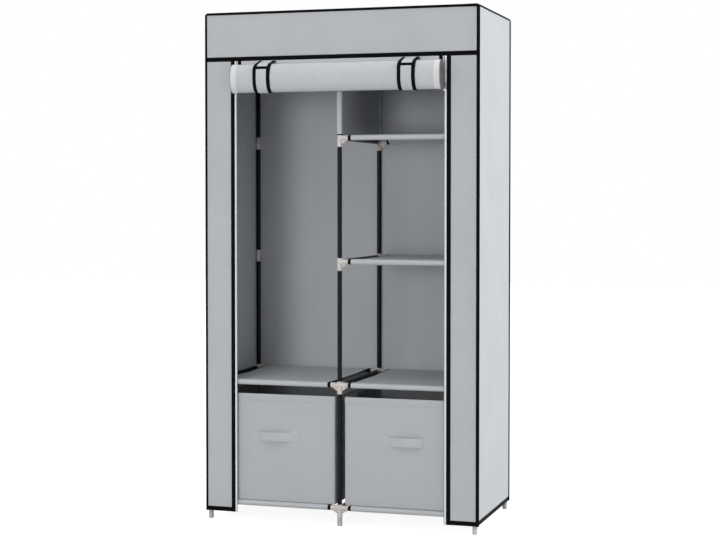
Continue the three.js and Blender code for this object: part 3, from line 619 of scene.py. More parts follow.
def slack(width, height, depth, seed):
    """Soft waves of a hung panel: slanted sines of random pitch and phase, the upright ones strongest,
    times the square root of the sine across and along, so that they die out at the seams."""
    draw = np.random.default_rng(seed)
    pitch = draw.uniform(*WAVE_PITCHES, (WAVE_COUNT, 2)) * WAVE_LEAN / WAVE_LENGTH
    phase, size = draw.uniform(0, 2 * np.pi, WAVE_COUNT), draw.uniform(0.3, 1.0, WAVE_COUNT)

    def waves(u, v):
        total = sum(s * np.sin(2 * np.pi * (p * u + q * v) + f) for (p, q), f, s in zip(pitch, phase, size))
        fade = np.clip(np.sin(np.pi * u / width), 0, 1) * np.clip(np.sin(np.pi * v / height), 0, 1)
        return depth * total / WAVE_EVEN * np.sqrt(fade)
    return waves


def panel(corner, across, up, width, height, waves):
    """A hung panel from its corner: points corner + u across + v up, moved out by the waves."""
    u = np.linspace(0, width, math.ceil(width / PANEL_CELL) + 1)
    v = np.linspace(0, height, math.ceil(height / PANEL_CELL) + 1)
    U, V = np.meshgrid(u, v, indexing="ij")
    middle = corner + U[..., None] * np.array(across, float) + V[..., None] * np.array(up, float)
    middle += waves(U, V)[..., None] * np.cross(across, up)
    return slab(middle, COVER_CLOTH, u, v)


def bound(line, step, inward, half=HEM_HALF):
    """Black tape folded over an edge of the cover, whose inner side is this way."""
    return swept(evenly(line, step), inward, folded_tape(HEM_WIDTH, half), True)


def hung(names, corner, across, width, height, depth, seed, drop=0.0, order=1):
    """A wall that hangs from the piping, from the names of its cloth, its tape and its node. Its waves
    go in no further than the limit. The tape over its lower edge runs in the order given, and lower by
    the drop."""
    waves = slack(width, height, depth, seed)
    outward = np.cross(across, (0, 0, 1))
    cloth = assemble(names[0], [panel(corner, across, (0, 0, 1), width, height,
                                      lambda u, v: np.maximum(waves(u, v), -SLACK_LIMIT))],
                     [cover_cloth], stands_for=[names[2]])
    line = np.array([corner, corner + width * np.array(across)]) - (0, 0, drop)
    edge = assemble(names[1], [bound(line[::order], HEM_STEP, -order * outward)], [binding_tape])


def cord_outline(radius, sides=16):
    """A circle, as the outline of a cord."""
    return arc_points((0, 0), radius, 0, 360, sides + 1)[:-1]


def rounded_path(corners, radius, step):
    """A broken line with each inner corner replaced by a quarter of a circle of the radius."""
    corners = np.array(corners, float)
    path = [corners[0]]
    angle = np.linspace(0, np.pi / 2, 7)[:, None]
    for before, corner, after in zip(corners, corners[1:], corners[2:]):
        inward, onward = unit(before - corner), unit(after - corner)
        path += list(corner + radius * ((1 - np.sin(angle)) * inward + (1 - np.cos(angle)) * onward))
    return evenly(path + [corners[-1]], step)


half = COVER_CLOTH / 2
piping_x, piping_z = COVER_X - PIPING_INSET, COVER_TOP - PIPING_INSET
piping_y = {"front": FACE_Y + PIPING_INSET, "rear": BACK_Y - PIPING_INSET}
span_x, span_y, wall_height = 2 * piping_x, piping_y["rear"] - piping_y["front"], piping_z - HEM_Z
surfaces = []
for row, y in piping_y.items():
    loop = [(-piping_x, y, HEM_Z), (-piping_x, y, piping_z), (piping_x, y, piping_z), (piping_x, y, HEM_Z)]
    line = rounded_path(loop, PIPING_BEND, PIPING_STEP)
    size = PIPING_RADII["rear"]
    # Along the front the cord thickens from 3.9 mm at the left to 5.4 mm at the right: part of that black is
    # painted shade, the shadow beside the right corner drawn as cord.
    if row == "front":
        size = np.interp(line[:, 0], [-piping_x, PIPING_SWELL - piping_x, piping_x - PIPING_NARROW, piping_x],
                         [PIPING_RADII[key] for key in ("left", "top", "top", "right")])
    surfaces.append(swept(line, (0, 1, 0), cord_outline(1.0), scale=size))
front, rear = piping_y.values()
for side in SIDES.values():
    line = [(side * (piping_x - PIPING_TUCK), front, piping_z - PIPING_TUCK),
            (side * piping_x, front + SIDE_PIPING_START, piping_z),
            (side * piping_x, rear - SIDE_PIPING_START, piping_z),
            (side * (piping_x - PIPING_TUCK), rear, piping_z - PIPING_TUCK)]
    surfaces.append(swept(evenly(line, PIPING_STEP), (0, 0, 1), cord_outline(PIPING_RADII["side"])))
assemble("cover_piping", surfaces, [binding_tape], stands_for=["cover_top", "cover_left", "cover_right"],
         sharp=PIPING_SHARP)

waves = slack(span_x, span_y, TOP_WAVES, TOP_SEED)
top = assemble("cover_top_cloth",
               [panel((-piping_x, piping_y["front"], COVER_TOP - half), (1, 0, 0), (0, 1, 0), span_x, span_y,
                      lambda u, v: np.minimum(waves(u, v), SLACK_LIMIT))],
               [cover_cloth], stands_for=["cover_top"])
hung(("cover_back_cloth", "cover_back_hem", "cover_back"), (piping_x, BACK_Y - half, HEM_Z), (-1, 0, 0),
     span_x, wall_height, BACK_WAVES, BACK_SEED)
for name, side, row in (("left", -1, "rear"), ("right", 1, "front")):
    hung((f"cover_{name}_cloth", f"cover_{name}_hem", f"cover_{name}"),
         (side * (COVER_X - half), piping_y[row], HEM_Z), (0, side, 0),
         span_y, wall_height, SIDE_WAVES, SIDE_SEED + side)

# Valance. The cover's front above the door: one cross panel, sewn in under the top piping, whose lower
# edge is bound in black tape. The door, the straps and the strips are all caught in that lower seam.
SEAM_Z, SEAM_DROP, VALANCE_WAVES, VALANCE_SEED = 1.448, 0.0008, 0.0008, 21
hung(("valance_cloth", "valance_binding", "cover_valance"), (-piping_x, FACE_Y + half, SEAM_Z), (1, 0, 0),
     span_x, piping_z - SEAM_Z, VALANCE_WAVES, VALANCE_SEED, SEAM_DROP, -1)

# Front strips. At each side of the opening hangs a strip of the cover's cloth, with a bound inner edge and
# hem. A white zip tape with moulded teeth is sewn in under the binding. A bin that slides out pushes its
# strip aside, so each strip is made in parts that meet without a gap.
OPENING, STRIP_OUT, STRIP_TOP = 0.3421, piping_x, 1.4477
TAPE_EDGE, TAPE_BACK, TAPE_THICK, JAW_Y = 0.337, 0.352, 0.0006, FACE_Y - 0.001
EDGE_HALF, EDGE_LEAD, EDGE_STEP, STRIP_HEM_STEP = 0.0018, 0.0012, 0.05, 0.02
FOLD_TOP, FOLD_LOW, FOLD_X = (0.3455, 1.335), (0.434, 0.43), 0.434
FOLD_LAP, FOLD_KEEP, FOLD_CLEAR, LAP_SINK, LAP_INSET = 0.010, 0.15, 0.012, 0.0005, 0.001
TOOTH_PITCH, TOOTH_REACH, TOOTH_THICK, TOOTH_ROOT, TOOTH_HEAD = 0.0042, 0.0014, 0.0008, 0.0008, 0.0012
TOOTH_NECK, TOOTH_SHOULDER = 0.0002, 0.0006
ZIP_COLOUR, ZIP_THREAD = (236, 237, 240), (208, 210, 214)
# The teeth are mid grey, darker than the zip's pale nylon: in part painted shade, for the dark gaps between the
# teeth and between the roll's turns.
TOOTH_SHADED_COLOUR, TOOTH_SHADED_GRAIN = (118, 119, 122), (120, 122, 126)
HIDDEN_STEP, FOLD_ROWS = 0.0006, {"top": 10, "upper": 60, "lower": 30}


def herringbone(tree, colour, thread, band=0.0021, pitch=0.0007):
    """Woven zip tape: slanted ribs that turn back at each narrow band, with a thread of another shade."""
    flat = node(tree, "UVMap").outputs[0]
    parts = node(tree, "SeparateXYZ", {0: flat})
    slant = reckon(tree, "ADD", parts.outputs[0], reckon(tree, "PINGPONG", parts.outputs[1], band))
    rib = ribs(tree, slant, pitch)
    fluff = noise(tree, flat, 700.0)
    base = blended(tree, between(tree, fluff, 0.0, 0.4, 0.4, 0.7), colour, thread)
    return {"Base Color": blended(tree, reckon(tree, "MULTIPLY", rib, 0.18), base, thread),
            "Normal": relief(tree, rib, 0.00008), "Roughness": between(tree, fluff, 0.68, 0.84),
            "Sheen Weight": 0.1, "Specular IOR Level": 0.35}


def nylon(tree):
    """Smooth moulded nylon, slightly see-through, with a faint dull grain. Its mid grey is darker than a zip's
    pale nylon: in part painted shade, for the dark gaps along the teeth.
    """
    grain = noise(tree, place_of(tree), 1500.0)
    dull = between(tree, grain, 0.0, 0.25, 0.4, 0.7)
    return {"Base Color": blended(tree, dull, TOOTH_SHADED_COLOUR, TOOTH_SHADED_GRAIN),
            "Roughness": between(tree, grain, 0.3, 0.42), "Subsurface Weight": 0.1, "Subsurface Scale": 0.001}


def teeth(line, side):
    """A row of moulded teeth along a path: each is a block that widens from its root towards the side
    direction, where its head hooks into the other row."""
    length = lengths(line)
    marks = np.arange(TOOTH_PITCH / 2, length[-1] - TOOTH_PITCH / 2, TOOTH_PITCH)
    core = sampled(marks, length, line)
    along = unit(sampled(marks, length, np.gradient(line, axis=0)))
    side = np.broadcast_to(np.asarray(side, float), core.shape)
    half_outline = [(TOOTH_ROOT, -TOOTH_REACH), (TOOTH_ROOT, TOOTH_NECK), (TOOTH_HEAD, TOOTH_SHOULDER),
                    (TOOTH_HEAD, TOOTH_REACH)]
    outline = np.array([(-TOOTH_ROOT, -TOOTH_REACH)] + half_outline
                       + [(-across, out) for across, out in half_outline[:0:-1]])
    flat = outline[:, 0, None] * along[:, None] + outline[:, 1, None] * side[:, None]
    return prisms(core[:, None] + flat, TOOTH_THICK * np.cross(along, side)[:, None])


def sloped_slab(z, near, far, steps, side, y):
    """Flat cloth between two edges that may change with height: points near(z) + share (far - near)."""
    share = np.linspace(0, 1, steps)
    middle = grid(side * (near + share[:, None] * (far - near)), y, z)
    return slab(middle[::side], COVER_CLOTH, share * np.abs(far - near).max(), z - z[0])


def upright(x, y, heights):
    """A line straight up between two heights."""
    return [(x, y, z) for z in heights]


zip_tape = look("zip_tape", "cover_cloth", herringbone, ZIP_COLOUR, ZIP_THREAD)
shaded_zip_teeth = look("shaded_zip_teeth", "cover_cloth", nylon)
strip_y = FACE_Y + half
fold_levels = {"top": (FOLD_TOP[1], STRIP_TOP), "upper": (FOLD_LOW[1], FOLD_TOP[1]),
               "lower": (HEM_Z, FOLD_LOW[1])}
outer_z = np.unique(np.concatenate([np.linspace(*fold_levels[part], FOLD_ROWS[part]) for part in fold_levels]))
upper_z = np.linspace(FOLD_LOW[1], FOLD_TOP[1] - FOLD_CLEAR, FOLD_ROWS["upper"])
lower_z = np.linspace(*fold_levels["lower"], FOLD_ROWS["lower"])
lap_z = np.array([FOLD_LOW[1] - LAP_SINK, FOLD_LOW[1] + FOLD_LAP])
tape_half, t = (TAPE_BACK - TAPE_EDGE) / 2, TAPE_THICK / 2
flat_tape = [(-t, -tape_half), (t, -tape_half), (t, tape_half), (-t, tape_half)]
# The strip folds along a straight line from beside the zip's slider down to the cover's corner.
outer_fold, upper_fold = [np.interp(z, [FOLD_LOW[1], FOLD_TOP[1]], [FOLD_LOW[0], FOLD_TOP[0]])
                          for z in (outer_z, upper_z)]
for name, side in SIDES.items():
    outer = assemble(f"strip_cloth_{name}", [sloped_slab(outer_z, outer_fold, STRIP_OUT, 9, side, strip_y)],
                     [cover_cloth], stands_for=[f"front_strip_{name}"])
    upper = assemble(f"strip_fold_upper_{name}", [sloped_slab(upper_z, OPENING, upper_fold, 8, side, strip_y)],
                     [cover_cloth])
    lower = assemble(f"strip_fold_lower_{name}",
                     [sloped_slab(lower_z, OPENING, FOLD_X, 8, side, strip_y),
                      sloped_slab(lap_z, OPENING + LAP_INSET, FOLD_X - LAP_INSET, 8, side,
                                  strip_y + half + HIDDEN_STEP)], [cover_cloth])
    trims = {}
    for part, ends in fold_levels.items():
        edge = upright(side * OPENING, JAW_Y + EDGE_LEAD, ends)
        tape_middle = evenly(upright(side * (TAPE_EDGE + tape_half), JAW_Y, ends), EDGE_STEP)
        tooth_line = evenly(upright(side * TAPE_EDGE, JAW_Y, ends), EDGE_STEP)
        trims[part] = assemble(f"strip_edge_{part}_{name}",
                               [(*bound(edge[::side], EDGE_STEP, (0, -1, 0), EDGE_HALF), 0),
                                (*swept(tape_middle, (0, -1, 0), flat_tape), 1),
                                (*teeth(tooth_line, (-side, 0, 0)), 2)], [binding_tape, zip_tape, shaded_zip_teeth])
    hem_line = [(x, strip_y, HEM_Z) for x in sorted((side * OPENING, side * STRIP_OUT), reverse=True)]
    hem = assemble(f"strip_hem_{name}", [bound(hem_line, STRIP_HEM_STEP, (0, -1, 0))], [binding_tape])
    for each in (upper, trims["upper"]):
        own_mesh(each)
    for each in (lower, trims["lower"], hem):
        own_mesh(each)

# Door. One sheet of the cloth, bound in black, with its half of each zip sewn behind its side edges. It is
# sewn in under the valance and rolled up in front of it; the two straps draw the roll flat.
DOOR_CLOTH, DOOR_HALF, DOOR_OUT, DOOR_TOP = 0.0012, 0.3310, 0.0024, 1.4477
ROLL_SHARE, ROLL_PITCH, ROLL_CORE, ROLL_RADIUS = 0.62, 0.00377, 0.006, 0.0450
ROLL_CENTRE = (0.03381, 1.390625)
ROLL_STEPS, ROLL_COLUMNS, DROP_STEPS, TOUCH_STEPS = 84, 31, 8, 721
DOOR_TAPE_THICK, DOOR_TAPE_IN, DOOR_TAPE_OUT, TAPE_GAP = 0.0004, 0.317, TAPE_EDGE - 0.0016, 0.00005
DOOR_BINDING, DOOR_BINDING_THICK, DOOR_BINDING_SINK, DOOR_BINDING_PROUD = 0.011, 0.0007, 0.0005, 0.0004
# The roll and the straps are the cover's cloth drawn lighter than the cover: painted light, for the light that
# falls on the top of the roll.
ROLL_LIT_COLOUR, ROLL_LIT_CLOUD, ROLL_WRINKLE, ROLL_CREASE = (198, 201, 204), (193, 196, 199), 0.0006, 22.0
# The door's half of each zip is the same tape as the strips' half, drawn darker: painted shade on the tape at
# the ends of the roll.
ROLL_ZIP_SHADED_COLOUR, ROLL_ZIP_SHADED_THREAD = (219, 219, 220), (205, 205, 208)


def on_roll(angle, radius, lift):
    """A point of a flattened turn, out from the cover's face and up: the turn is an ellipse whose depth is
    a share of its height, and the lift goes along its outward normal."""
    out, up = np.cos(angle), np.sin(angle)
    outward = unit(np.stack([out, ROLL_SHARE * up], -1))
    turn = np.stack([ROLL_SHARE * out, up], -1) * np.asarray(radius)[..., None]
    return turn + outward * lift + np.array(ROLL_CENTRE)


def touch_angle(point, radius, lift, start, side):
    """Where a straight line from a point above touches a turn: the place of half a turn that leans
    furthest out, to the front for side 1 and to the rear for side -1."""
    angle = start + np.linspace(0, np.pi, TOUCH_STEPS)
    toward = on_roll(angle, radius, lift) - point
    return angle[np.argmax(side * toward[:, 0] / -toward[:, 1])]


door_start = np.array([DOOR_OUT, DOOR_TOP])
WRAP_START = touch_angle(door_start, ROLL_RADIUS, 0.0, np.pi / 2, -1)
WRAP_ANGLE = (ROLL_RADIUS - ROLL_CORE) / ROLL_PITCH * 2 * np.pi


def sheet_radius(angle):
    """The spiral's radius, upright, at an angle: it loses one pitch in each turn."""
    return ROLL_RADIUS - ROLL_PITCH / 2 / np.pi * (angle - WRAP_START)


def in_place(path, x):
    """A path of (out, up) points at places along the roll: the grid of points (x, face less out, up)."""
    return grid(np.asarray(x)[:, None], FACE_Y - path[:, 0], path[:, 1])


def door_path(lift=0.0):
    """The rolled sheet from its seam down behind the roll and round all its turns, moved out by the lift."""
    angle = WRAP_START + np.linspace(0, WRAP_ANGLE, math.ceil(WRAP_ANGLE / 2 / np.pi * ROLL_STEPS))
    turns = on_roll(angle, sheet_radius(angle), lift)
    first = door_start + (-lift, 0)
    straight = first + np.linspace(0, 1, DROP_STEPS)[:-1, None] * (turns[0] - first)
    return np.concatenate([straight, turns])


# Painted light: a lighter copy of the cover's cloth, for the roll and the straps.
lit_roll_cloth = look("lit_roll_cloth", "door_cloth", nonwoven, ROLL_LIT_COLOUR, ROLL_LIT_CLOUD, ROLL_WRINKLE, ROLL_CREASE)
# Painted shade: a darker copy of the zip tape, for the tape on the roll.
shaded_roll_tape = look("shaded_roll_zip_tape", "door_cloth", herringbone, ROLL_ZIP_SHADED_COLOUR, ROLL_ZIP_SHADED_THREAD)
path = door_path()
v = lengths(path)
x = np.linspace(-DOOR_HALF, DOOR_HALF, ROLL_COLUMNS)
door = assemble("door_cloth", [slab(in_place(path, x)[::-1], DOOR_CLOTH, x + DOOR_HALF, v)], [lit_roll_cloth],
                stands_for=["door_roll"])
tape_path = door_path((DOOR_CLOTH + DOOR_TAPE_THICK) / 2 + TAPE_GAP)
inner_path = door_path(-(DOOR_CLOTH + DOOR_BINDING_SINK) / 2)
extras = []
for side in SIDES.values():
    for band, low, high, steps, thick, which in (
            (tape_path, DOOR_TAPE_IN, DOOR_TAPE_OUT, 3, DOOR_TAPE_THICK, 0),
            (inner_path, DOOR_HALF - DOOR_BINDING, DOOR_HALF + DOOR_BINDING_PROUD, 4, DOOR_BINDING_THICK, 1)):
        places = np.sort(np.linspace(side * low, side * high, steps))[::-1]
        extras.append((*slab(in_place(band, places), thick, places[0] - places, lengths(band)), which))
    extras.append((*teeth(in_place(tape_path, [side * DOOR_TAPE_OUT])[0], (side, 0, 0)), 2))
door_trim = assemble("door_edges", extras, [shaded_roll_tape, binding_tape, shaded_zip_teeth])

# Straps. Two wide straps of the same cloth with black bound edges, sewn into the valance's seam. Each runs
# behind and under the roll; its tail comes up the front and closes over a short tab.
STRAP_X, STRAP_HALF, STRAP_THICK, STRAP_GAP = 0.232, 0.028, 0.0014, 0.0003
EDGE_WIDTH, EDGE_THICK, END_TAPE, CLOTH_INSET, END_INSET = 0.0115, 0.0020, 0.0105, 0.007, 0.004
EDGE_THIN, EDGE_THINNEST, END_THICKER = 0.85, 0.6, 1.08
TAIL_START, TAIL_END, TAB_END, OVERLAP, TAIL_GAP, LAYER_GAP = -50.0, 49.0, 24.0, 9.0, 0.4, 0.6
LAYER, SEAM_BEND, SEAM_DIP = 0.0023, 0.002, 0.0006
TURN = 2 * np.pi
strap_lift = DOOR_CLOTH / 2 + STRAP_GAP + EDGE_THICK / 2


def on_strap(start, end, steps, layer=0):
    """Points of a strap that lies on the outer turn, or on another strap there, between two angles."""
    angle = TURN + np.radians(np.linspace(start, end, steps))
    return on_roll(angle, sheet_radius(angle), strap_lift + layer * LAYER)


def strap_surfaces(path, x, free_end):
    """A bound strap along a path of (out, up) points: pale cloth between two edges of folded black tape,
    and a tape across its free end, which is the path's first point (0) or its last (-1)."""
    v = lengths(path)
    found = []
    for low, high, thick, which, steps in (
            (CLOTH_INSET - STRAP_HALF, STRAP_HALF - CLOTH_INSET, STRAP_THICK, 0, 9),
            (-STRAP_HALF, EDGE_WIDTH - STRAP_HALF, EDGE_THICK, 1, 4),
            (STRAP_HALF - EDGE_WIDTH, STRAP_HALF, EDGE_THICK, 1, 4)):
        places = np.linspace(high, low, steps)
        thickness = np.full((steps, len(path)), thick)
        if which:
            thickness[[0, -1]] *= np.array([EDGE_THIN, EDGE_THINNEST])[::-1 if low > 0 else 1, None]
        found.append((*slab(in_place(path, x + places), thickness, places - low, v), which))
    start = 0 if free_end == 0 else v[-1] - END_TAPE
    end_path = sampled(np.linspace(start, start + END_TAPE, 7), v, path)
    places = np.linspace(STRAP_HALF - END_INSET, END_INSET - STRAP_HALF, 6)
    thickness = np.full((6, 7), EDGE_THICK * END_THICKER)
    thickness[:, [0, -1]] *= (EDGE_THINNEST, EDGE_THIN)[::1 if free_end == 0 else -1]
    found.append((*slab(in_place(end_path, x + places), thickness, places, lengths(end_path)), 1))
    return found


seam = np.array([DOOR_OUT - strap_lift, DOOR_TOP - EDGE_THICK / 2])
front_radius = sheet_radius(TURN + np.linspace(0, np.pi, TOUCH_STEPS))
tab_top = np.degrees(touch_angle(seam, front_radius, strap_lift, TURN, 1) - TURN)
loop_top = np.degrees(touch_angle(seam, ROLL_RADIUS, strap_lift, np.pi / 2, -1) - TURN)
tab = on_strap(TAB_END, tab_top, 26)
loop = on_strap(loop_top, TAIL_START, 60)
bend_in, bend_out = seam + SEAM_BEND * unit(tab[-1] - seam), seam + SEAM_BEND * unit(loop[0] - seam)
loop_path = np.concatenate([tab, np.linspace(tab[-1], bend_in, 8)[1:], seam[None] - (0, SEAM_DIP),
                            np.linspace(bend_out, loop[0], 8)[:-1], loop])
tail_path = np.concatenate([on_strap(TAIL_START + TAIL_GAP, TAB_END - OVERLAP, 34),
                            on_strap(TAB_END - LAYER_GAP, TAIL_END, 14, 1)])
# The straps take the roll's lighter copy of the cloth, which is painted light as on the roll.
for name, side in SIDES.items():
    x = side * STRAP_X
    strap = assemble(f"strap_cloth_{name}", strap_surfaces(loop_path, x, 0), [lit_roll_cloth, binding_tape],
                     stands_for=[f"strap_loop_{name}"])
    tail = assemble(f"strap_flap_{name}", strap_surfaces(tail_path, x, -1), [lit_roll_cloth, binding_tape],
                    body=None, stands_for=[f"strap_tail_{name}"])
    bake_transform(tail)

# Zip sliders and pulls. Zinc castings: the slider's jaw runs on the tape's free edge, and the pull's
# window swings on the slider's bail. Both are tumbled smooth and plated a dull grey.
ZINC, ZINC_PIT = (150, 152, 156), (70, 71, 74)
WELD, BEVEL_WIDTH, BEVEL_SEGMENTS, BEVEL_ANGLE = 0.00001, 0.0002, 2, 40


def plated(tree):
    """Barrel-plated zinc: a fine tumbled grain, small dark pits and a satin shine."""
    where = place_of(tree)
    grain = noise(tree, where, 1900.0)
    pit = between(tree, noise(tree, where, 700.0, 1.0), 0.0, 0.5, 0.66, 0.74)
    return {"Base Color": blended(tree, pit, ZINC, ZINC_PIT), "Metallic": 1.0,
            "Roughness": between(tree, grain, 0.26, 0.4), "Normal": relief(tree, grain, 0.00002)}


def dressed(name, material):
    """A part of the model that is kept as it is, with another look."""
    part = bpy.data.objects[name]
    part.data.materials.clear()
    part.data.materials.append(material)
    return part


zinc = look("zinc_plate", None, plated)
for name in SIDES:
    for kind in ("zip_slider", "zip_pull"):
        part = dressed(f"{kind}_{name}", zinc)
        part.modifiers.new("weld", "WELD").merge_threshold = WELD
        bevel = part.modifiers.new("bevel", "BEVEL")
        bevel.width, bevel.segments = BEVEL_WIDTH, BEVEL_SEGMENTS
        bevel.limit_method, bevel.angle_limit = "ANGLE", math.radians(BEVEL_ANGLE)

# Bins. Two boxes of the cloth over stiff board, with round corners, a folded hem, a webbing handle sewn
# on by its tails, and a loose grey board in the floor. They slide out over the base shelf.
BIN_X, BIN_HALF, BIN_FRONT, BIN_DEPTH = 0.21535, 0.19985, FRONT, 0.385
BIN_FLOOR, BIN_TOP, BIN_WALL, BIN_CORNER = 0.0646, 0.40263, 0.003, 0.0062
BIN_HEM, BIN_HEM_PROUD, BIN_SOFT, BIN_SOFT_CORNER, BIN_BULGE = 0.022, 0.0008, 0.004, 0.0042, 0.0022
HEM_SECTION = [(BIN_HEM, 0.7), (0.0212, 1.0), (0.011, 1.3), (0.0018, 1.0), (0.0005, 0.4)]
RIM_EASE, RIM_DROP, ARC_STEPS, SIDE_STEPS, BULGE_POWER = 0.0009, 0.0012, 7, 22, 0.7
HANDLE_HALF, HANDLE_TAIL, HANDLE_RISE, HANDLE_POWER, HANDLE_GAP = 0.055, 0.026, 0.015, 0.7, 0.0002
HANDLE_HIGH, HANDLE_TOP, HANDLE_THICK, HANDLE_EDGE, HANDLE_STEP = 0.028, 0.118, 0.0022, 0.5, 0.004
BIN_COLOUR, BIN_SHADE, BIN_WRINKLE, BIN_CREASE = (184, 187, 191), (180, 183, 188), 0.0003, 9.0
WEBBING_COLOUR, WEBBING_THREAD = (181, 185, 189), (199, 202, 206)
WEBBING_PITCH, WEBBING_SEAM, WEBBING_SHINE = 0.0016, 0.0127, 0.3
BOARD_COLOUR, BOARD_SHADE, SHIVE_COLOUR = (134, 131, 126), (112, 109, 104), (84, 80, 74)


def bin_ring(inset, corner, z, crown=0.0):
    """One level of a box with round corners: straight sides and quarter circles, with the sides bowed out
    by the crown times the sine of the place along them."""
    reach = np.array([BIN_HALF, BIN_DEPTH / 2]) - inset - corner
    arcs = [arc_points(reach * turn, corner, 90 * k - 90, 90 * k, ARC_STEPS)
            for k, turn in enumerate(((1, -1), (1, 1), (-1, 1), (-1, -1)))]
    share = np.linspace(0, 1, SIDE_STEPS)[1:-1, None]
    points = []
    for k, (arc, following) in enumerate(zip(arcs, arcs[1:] + arcs[:1])):
        outward = np.array([math.cos(math.radians(90 * k)), math.sin(math.radians(90 * k))])
        points += [arc, arc[-1] + share * (following[0] - arc[-1]) + crown * np.sin(np.pi * share) * outward]
    return grid(*(np.concatenate(points) + (0, BIN_FRONT + BIN_DEPTH / 2)).T, z)


def lofted(rings):
    """Rings of points joined one to the next, the first and last closed by a flat face."""
    rings = np.array(rings)
    faces, uv = quads(lengths(rings[:, 0]), around(rings[0]), False, True)
    return rings.reshape(-1, 3), capped(faces, uv[..., ::-1], len(rings), rings[0, :, :2], rings[-1, :, :2])


def bowed_rings(inset, corner, start, end, count):
    """Rings of an upright wall from one height to another, bowed out most in the middle."""
    return [bin_ring(inset, corner, start + share * (end - start),
                     BIN_BULGE * math.sin(math.pi * share) ** BULGE_POWER)
            for share in np.linspace(0, 1, count)[1:]]


def bin_rings():
    """The box from the middle of its underside, up the outside, over the hem and down to the inner floor."""
    soft, inner, rim = BIN_SOFT, BIN_CORNER - BIN_WALL, BIN_TOP - RIM_DROP
    rings = [bin_ring(soft, BIN_SOFT_CORNER, BIN_FLOOR)]
    rings += [bin_ring(soft * (1 - math.sin(t)), BIN_CORNER, BIN_FLOOR + soft * (1 - math.cos(t)))
              for t in np.radians((30, 60, 90))]
    rings += bowed_rings(0, BIN_CORNER, BIN_FLOOR + soft, BIN_TOP - BIN_HEM, 16)
    rings += [bin_ring(-share * BIN_HEM_PROUD, BIN_CORNER + share * BIN_HEM_PROUD, BIN_TOP - down)
              for down, share in HEM_SECTION]
    rings += [bin_ring(RIM_EASE, BIN_CORNER - RIM_EASE, BIN_TOP), bin_ring(BIN_WALL - RIM_EASE, inner, BIN_TOP),
              bin_ring(BIN_WALL, inner, rim)]
    return rings + bowed_rings(BIN_WALL, inner, rim, BIN_FLOOR + BIN_WALL, 9)


def fibreboard(tree):
    """Grey board: long pressed fibres, a few darker shives and a matt rubbed face."""
    where = place_of(tree)
    fibre = noise(tree, node(tree, "Mapping", {"Vector": where, "Scale": (900, 160, 900)}).outputs[0], 1.0, 3.0)
    shive = between(tree, noise(tree, where, 260.0), 0.0, 1.0, 0.66, 0.72)
    base = blended(tree, between(tree, fibre, 0.0, 1.0, 0.35, 0.7), BOARD_COLOUR, BOARD_SHADE)
    return {"Base Color": blended(tree, shive, base, SHIVE_COLOUR),
            "Roughness": between(tree, fibre, 0.8, 0.92), "Normal": relief(tree, fibre, 0.0001)}


bin_cloth = look("bin_cloth", "bin_cloth", nonwoven, BIN_COLOUR, BIN_SHADE, BIN_WRINKLE, BIN_CREASE)
webbing = look("handle_webbing", "bin_cloth", tape_weave, WEBBING_COLOUR, WEBBING_THREAD,
               WEBBING_PITCH, WEBBING_SEAM, WEBBING_SHINE)
board_grey = look("base_board", None, fibreboard)
share = np.linspace(0, 1, 25)
sewn = HANDLE_GAP + HANDLE_THICK / 2
rise = HANDLE_RISE * np.sin(np.pi * share) ** HANDLE_POWER
rise[-1] = 0
bow = np.stack([-HANDLE_HALF + 2 * HANDLE_HALF * share, sewn + rise], -1)
line = evenly([(-HANDLE_HALF - HANDLE_TAIL, sewn), *bow, (HANDLE_HALF + HANDLE_TAIL, sewn)], HANDLE_STEP)
heights = np.linspace(BIN_TOP - HANDLE_TOP - HANDLE_HIGH, BIN_TOP - HANDLE_TOP, 7)
thickness = np.full((len(line), len(heights)), HANDLE_THICK)
thickness[:, [0, -1]] *= HANDLE_EDGE
for name, side in SIDES.items():
    body = f"bin_{name}"
    rings = [ring + (side * BIN_X, 0, 0) for ring in bin_rings()]
    assemble(f"bin_box_{name}", [lofted(rings)], [bin_cloth], body=body, stands_for=[f"bin_{name}_shell"])
    middle = grid(side * BIN_X + line[:, 0, None], BIN_FRONT - line[:, 1, None], heights)
    assemble(f"bin_strap_handle_{name}", [slab(middle, thickness, lengths(line), heights - heights.mean())],
             [webbing], body=body, stands_for=[f"bin_{name}_handle"])
    dressed(f"bin_{name}_board", board_grey)

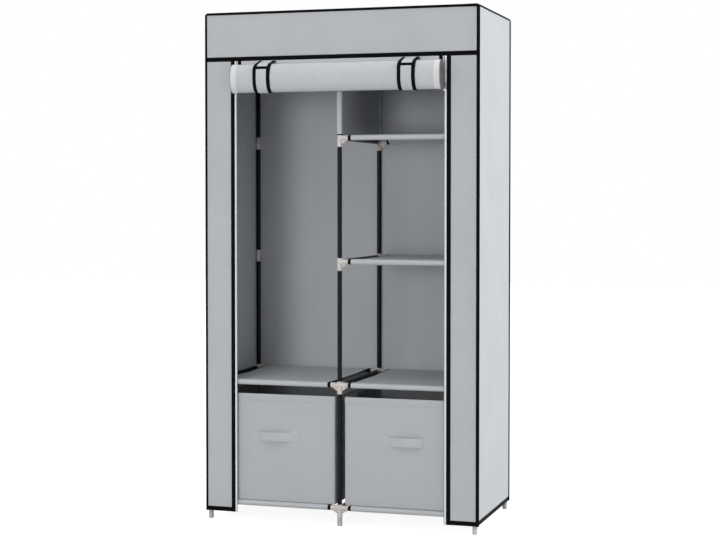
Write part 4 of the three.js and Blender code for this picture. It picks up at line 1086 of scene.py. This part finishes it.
# Studio. A plain white floor and surround, four large soft lamps at the right, in front, overhead and
# behind, and the camera of the photograph: long lens, at chest height, right of the wardrobe's middle.
FLOOR_HALF, FLOOR_GREY, FLOOR_GLOW, WORLD_LIGHT = 14.0, 0.52, 0.89, 0.55
WHITE, LAMP_TARGET = (1, 1, 1, 1), (0, 0, 0.8)
LAMPS = {"key": ((8.6, 0.3, 6.0), 4.0, 750.0), "front": ((-0.6, -7.0, 1.1), 2.0, 135.0),
         "top": ((-0.6, -3.0, 6.0), 2.5, 42.0), "rear": ((-6.0, 6.5, 4.0), 4.0, 260.0)}
CAMERA_PLACE, CAMERA_YAW, CAMERA_PITCH = (1.5489, -4.9232, 1.0210), 17.4445, -1.6914
CAMERA_LENS, CAMERA_SHIFT, CAMERA_SENSOR = 81.086, -0.035, 36.0


def seen(tree, low, high):
    """High for rays from the camera, straight or through gloss or a clear thing, low for other light."""
    ray = node(tree, "LightPath").outputs
    clear = reckon(tree, "MAXIMUM", ray["Is Glossy Ray"], ray["Is Transmission Ray"])
    return between(tree, reckon(tree, "MAXIMUM", ray["Is Camera Ray"], clear), low, high)


h = FLOOR_HALF
floor_mesh = bpy.data.meshes.new("floor")
floor_mesh.from_pydata([(-h, -h, 0), (h, -h, 0), (h, h, 0), (-h, h, 0)], [], [(0, 1, 2, 3)])
floor = placed("floor", floor_mesh)
paper = bpy.data.materials.new("paper")
tree = blank(paper)
matt = node(tree, "BsdfDiffuse", {"Color": (FLOOR_GREY,) * 3 + (1,)})
glow = node(tree, "Emission", {"Color": WHITE, "Strength": seen(tree, 0.0, FLOOR_GLOW)})
both = node(tree, "AddShader", {0: matt.outputs[0], 1: glow.outputs[0]})
node(tree, "OutputMaterial", {"Surface": both.outputs[0]})
floor_mesh.materials.append(paper)

world = bpy.data.worlds.new("surround")
bpy.context.scene.world = world
tree = blank(world)
sky = node(tree, "Background", {"Color": WHITE, "Strength": seen(tree, WORLD_LIGHT, 1.0)})
node(tree, "OutputWorld", {"Surface": sky.outputs[0]})

for name, (place, size, power) in LAMPS.items():
    lamp = bpy.data.lights.new(f"lamp_{name}", "AREA")
    lamp.shape, lamp.size, lamp.energy = "DISK", size, power
    holder = placed(f"lamp_{name}", lamp)
    x, y, z = np.array(LAMP_TARGET, float) - place
    holder.location = place
    holder.rotation_euler = (math.atan2(math.hypot(x, y), -z), 0, math.atan2(-x, y))

lens = bpy.data.cameras.new("camera")
lens.sensor_width, lens.lens, lens.shift_y = CAMERA_SENSOR, CAMERA_LENS, CAMERA_SHIFT
camera = placed("camera", lens)
camera.location = CAMERA_PLACE
camera.rotation_euler = (math.radians(90 + CAMERA_PITCH), 0, math.radians(CAMERA_YAW))
bpy.context.scene.camera = camera
bpy.context.scene.view_settings.view_transform = "Standard"
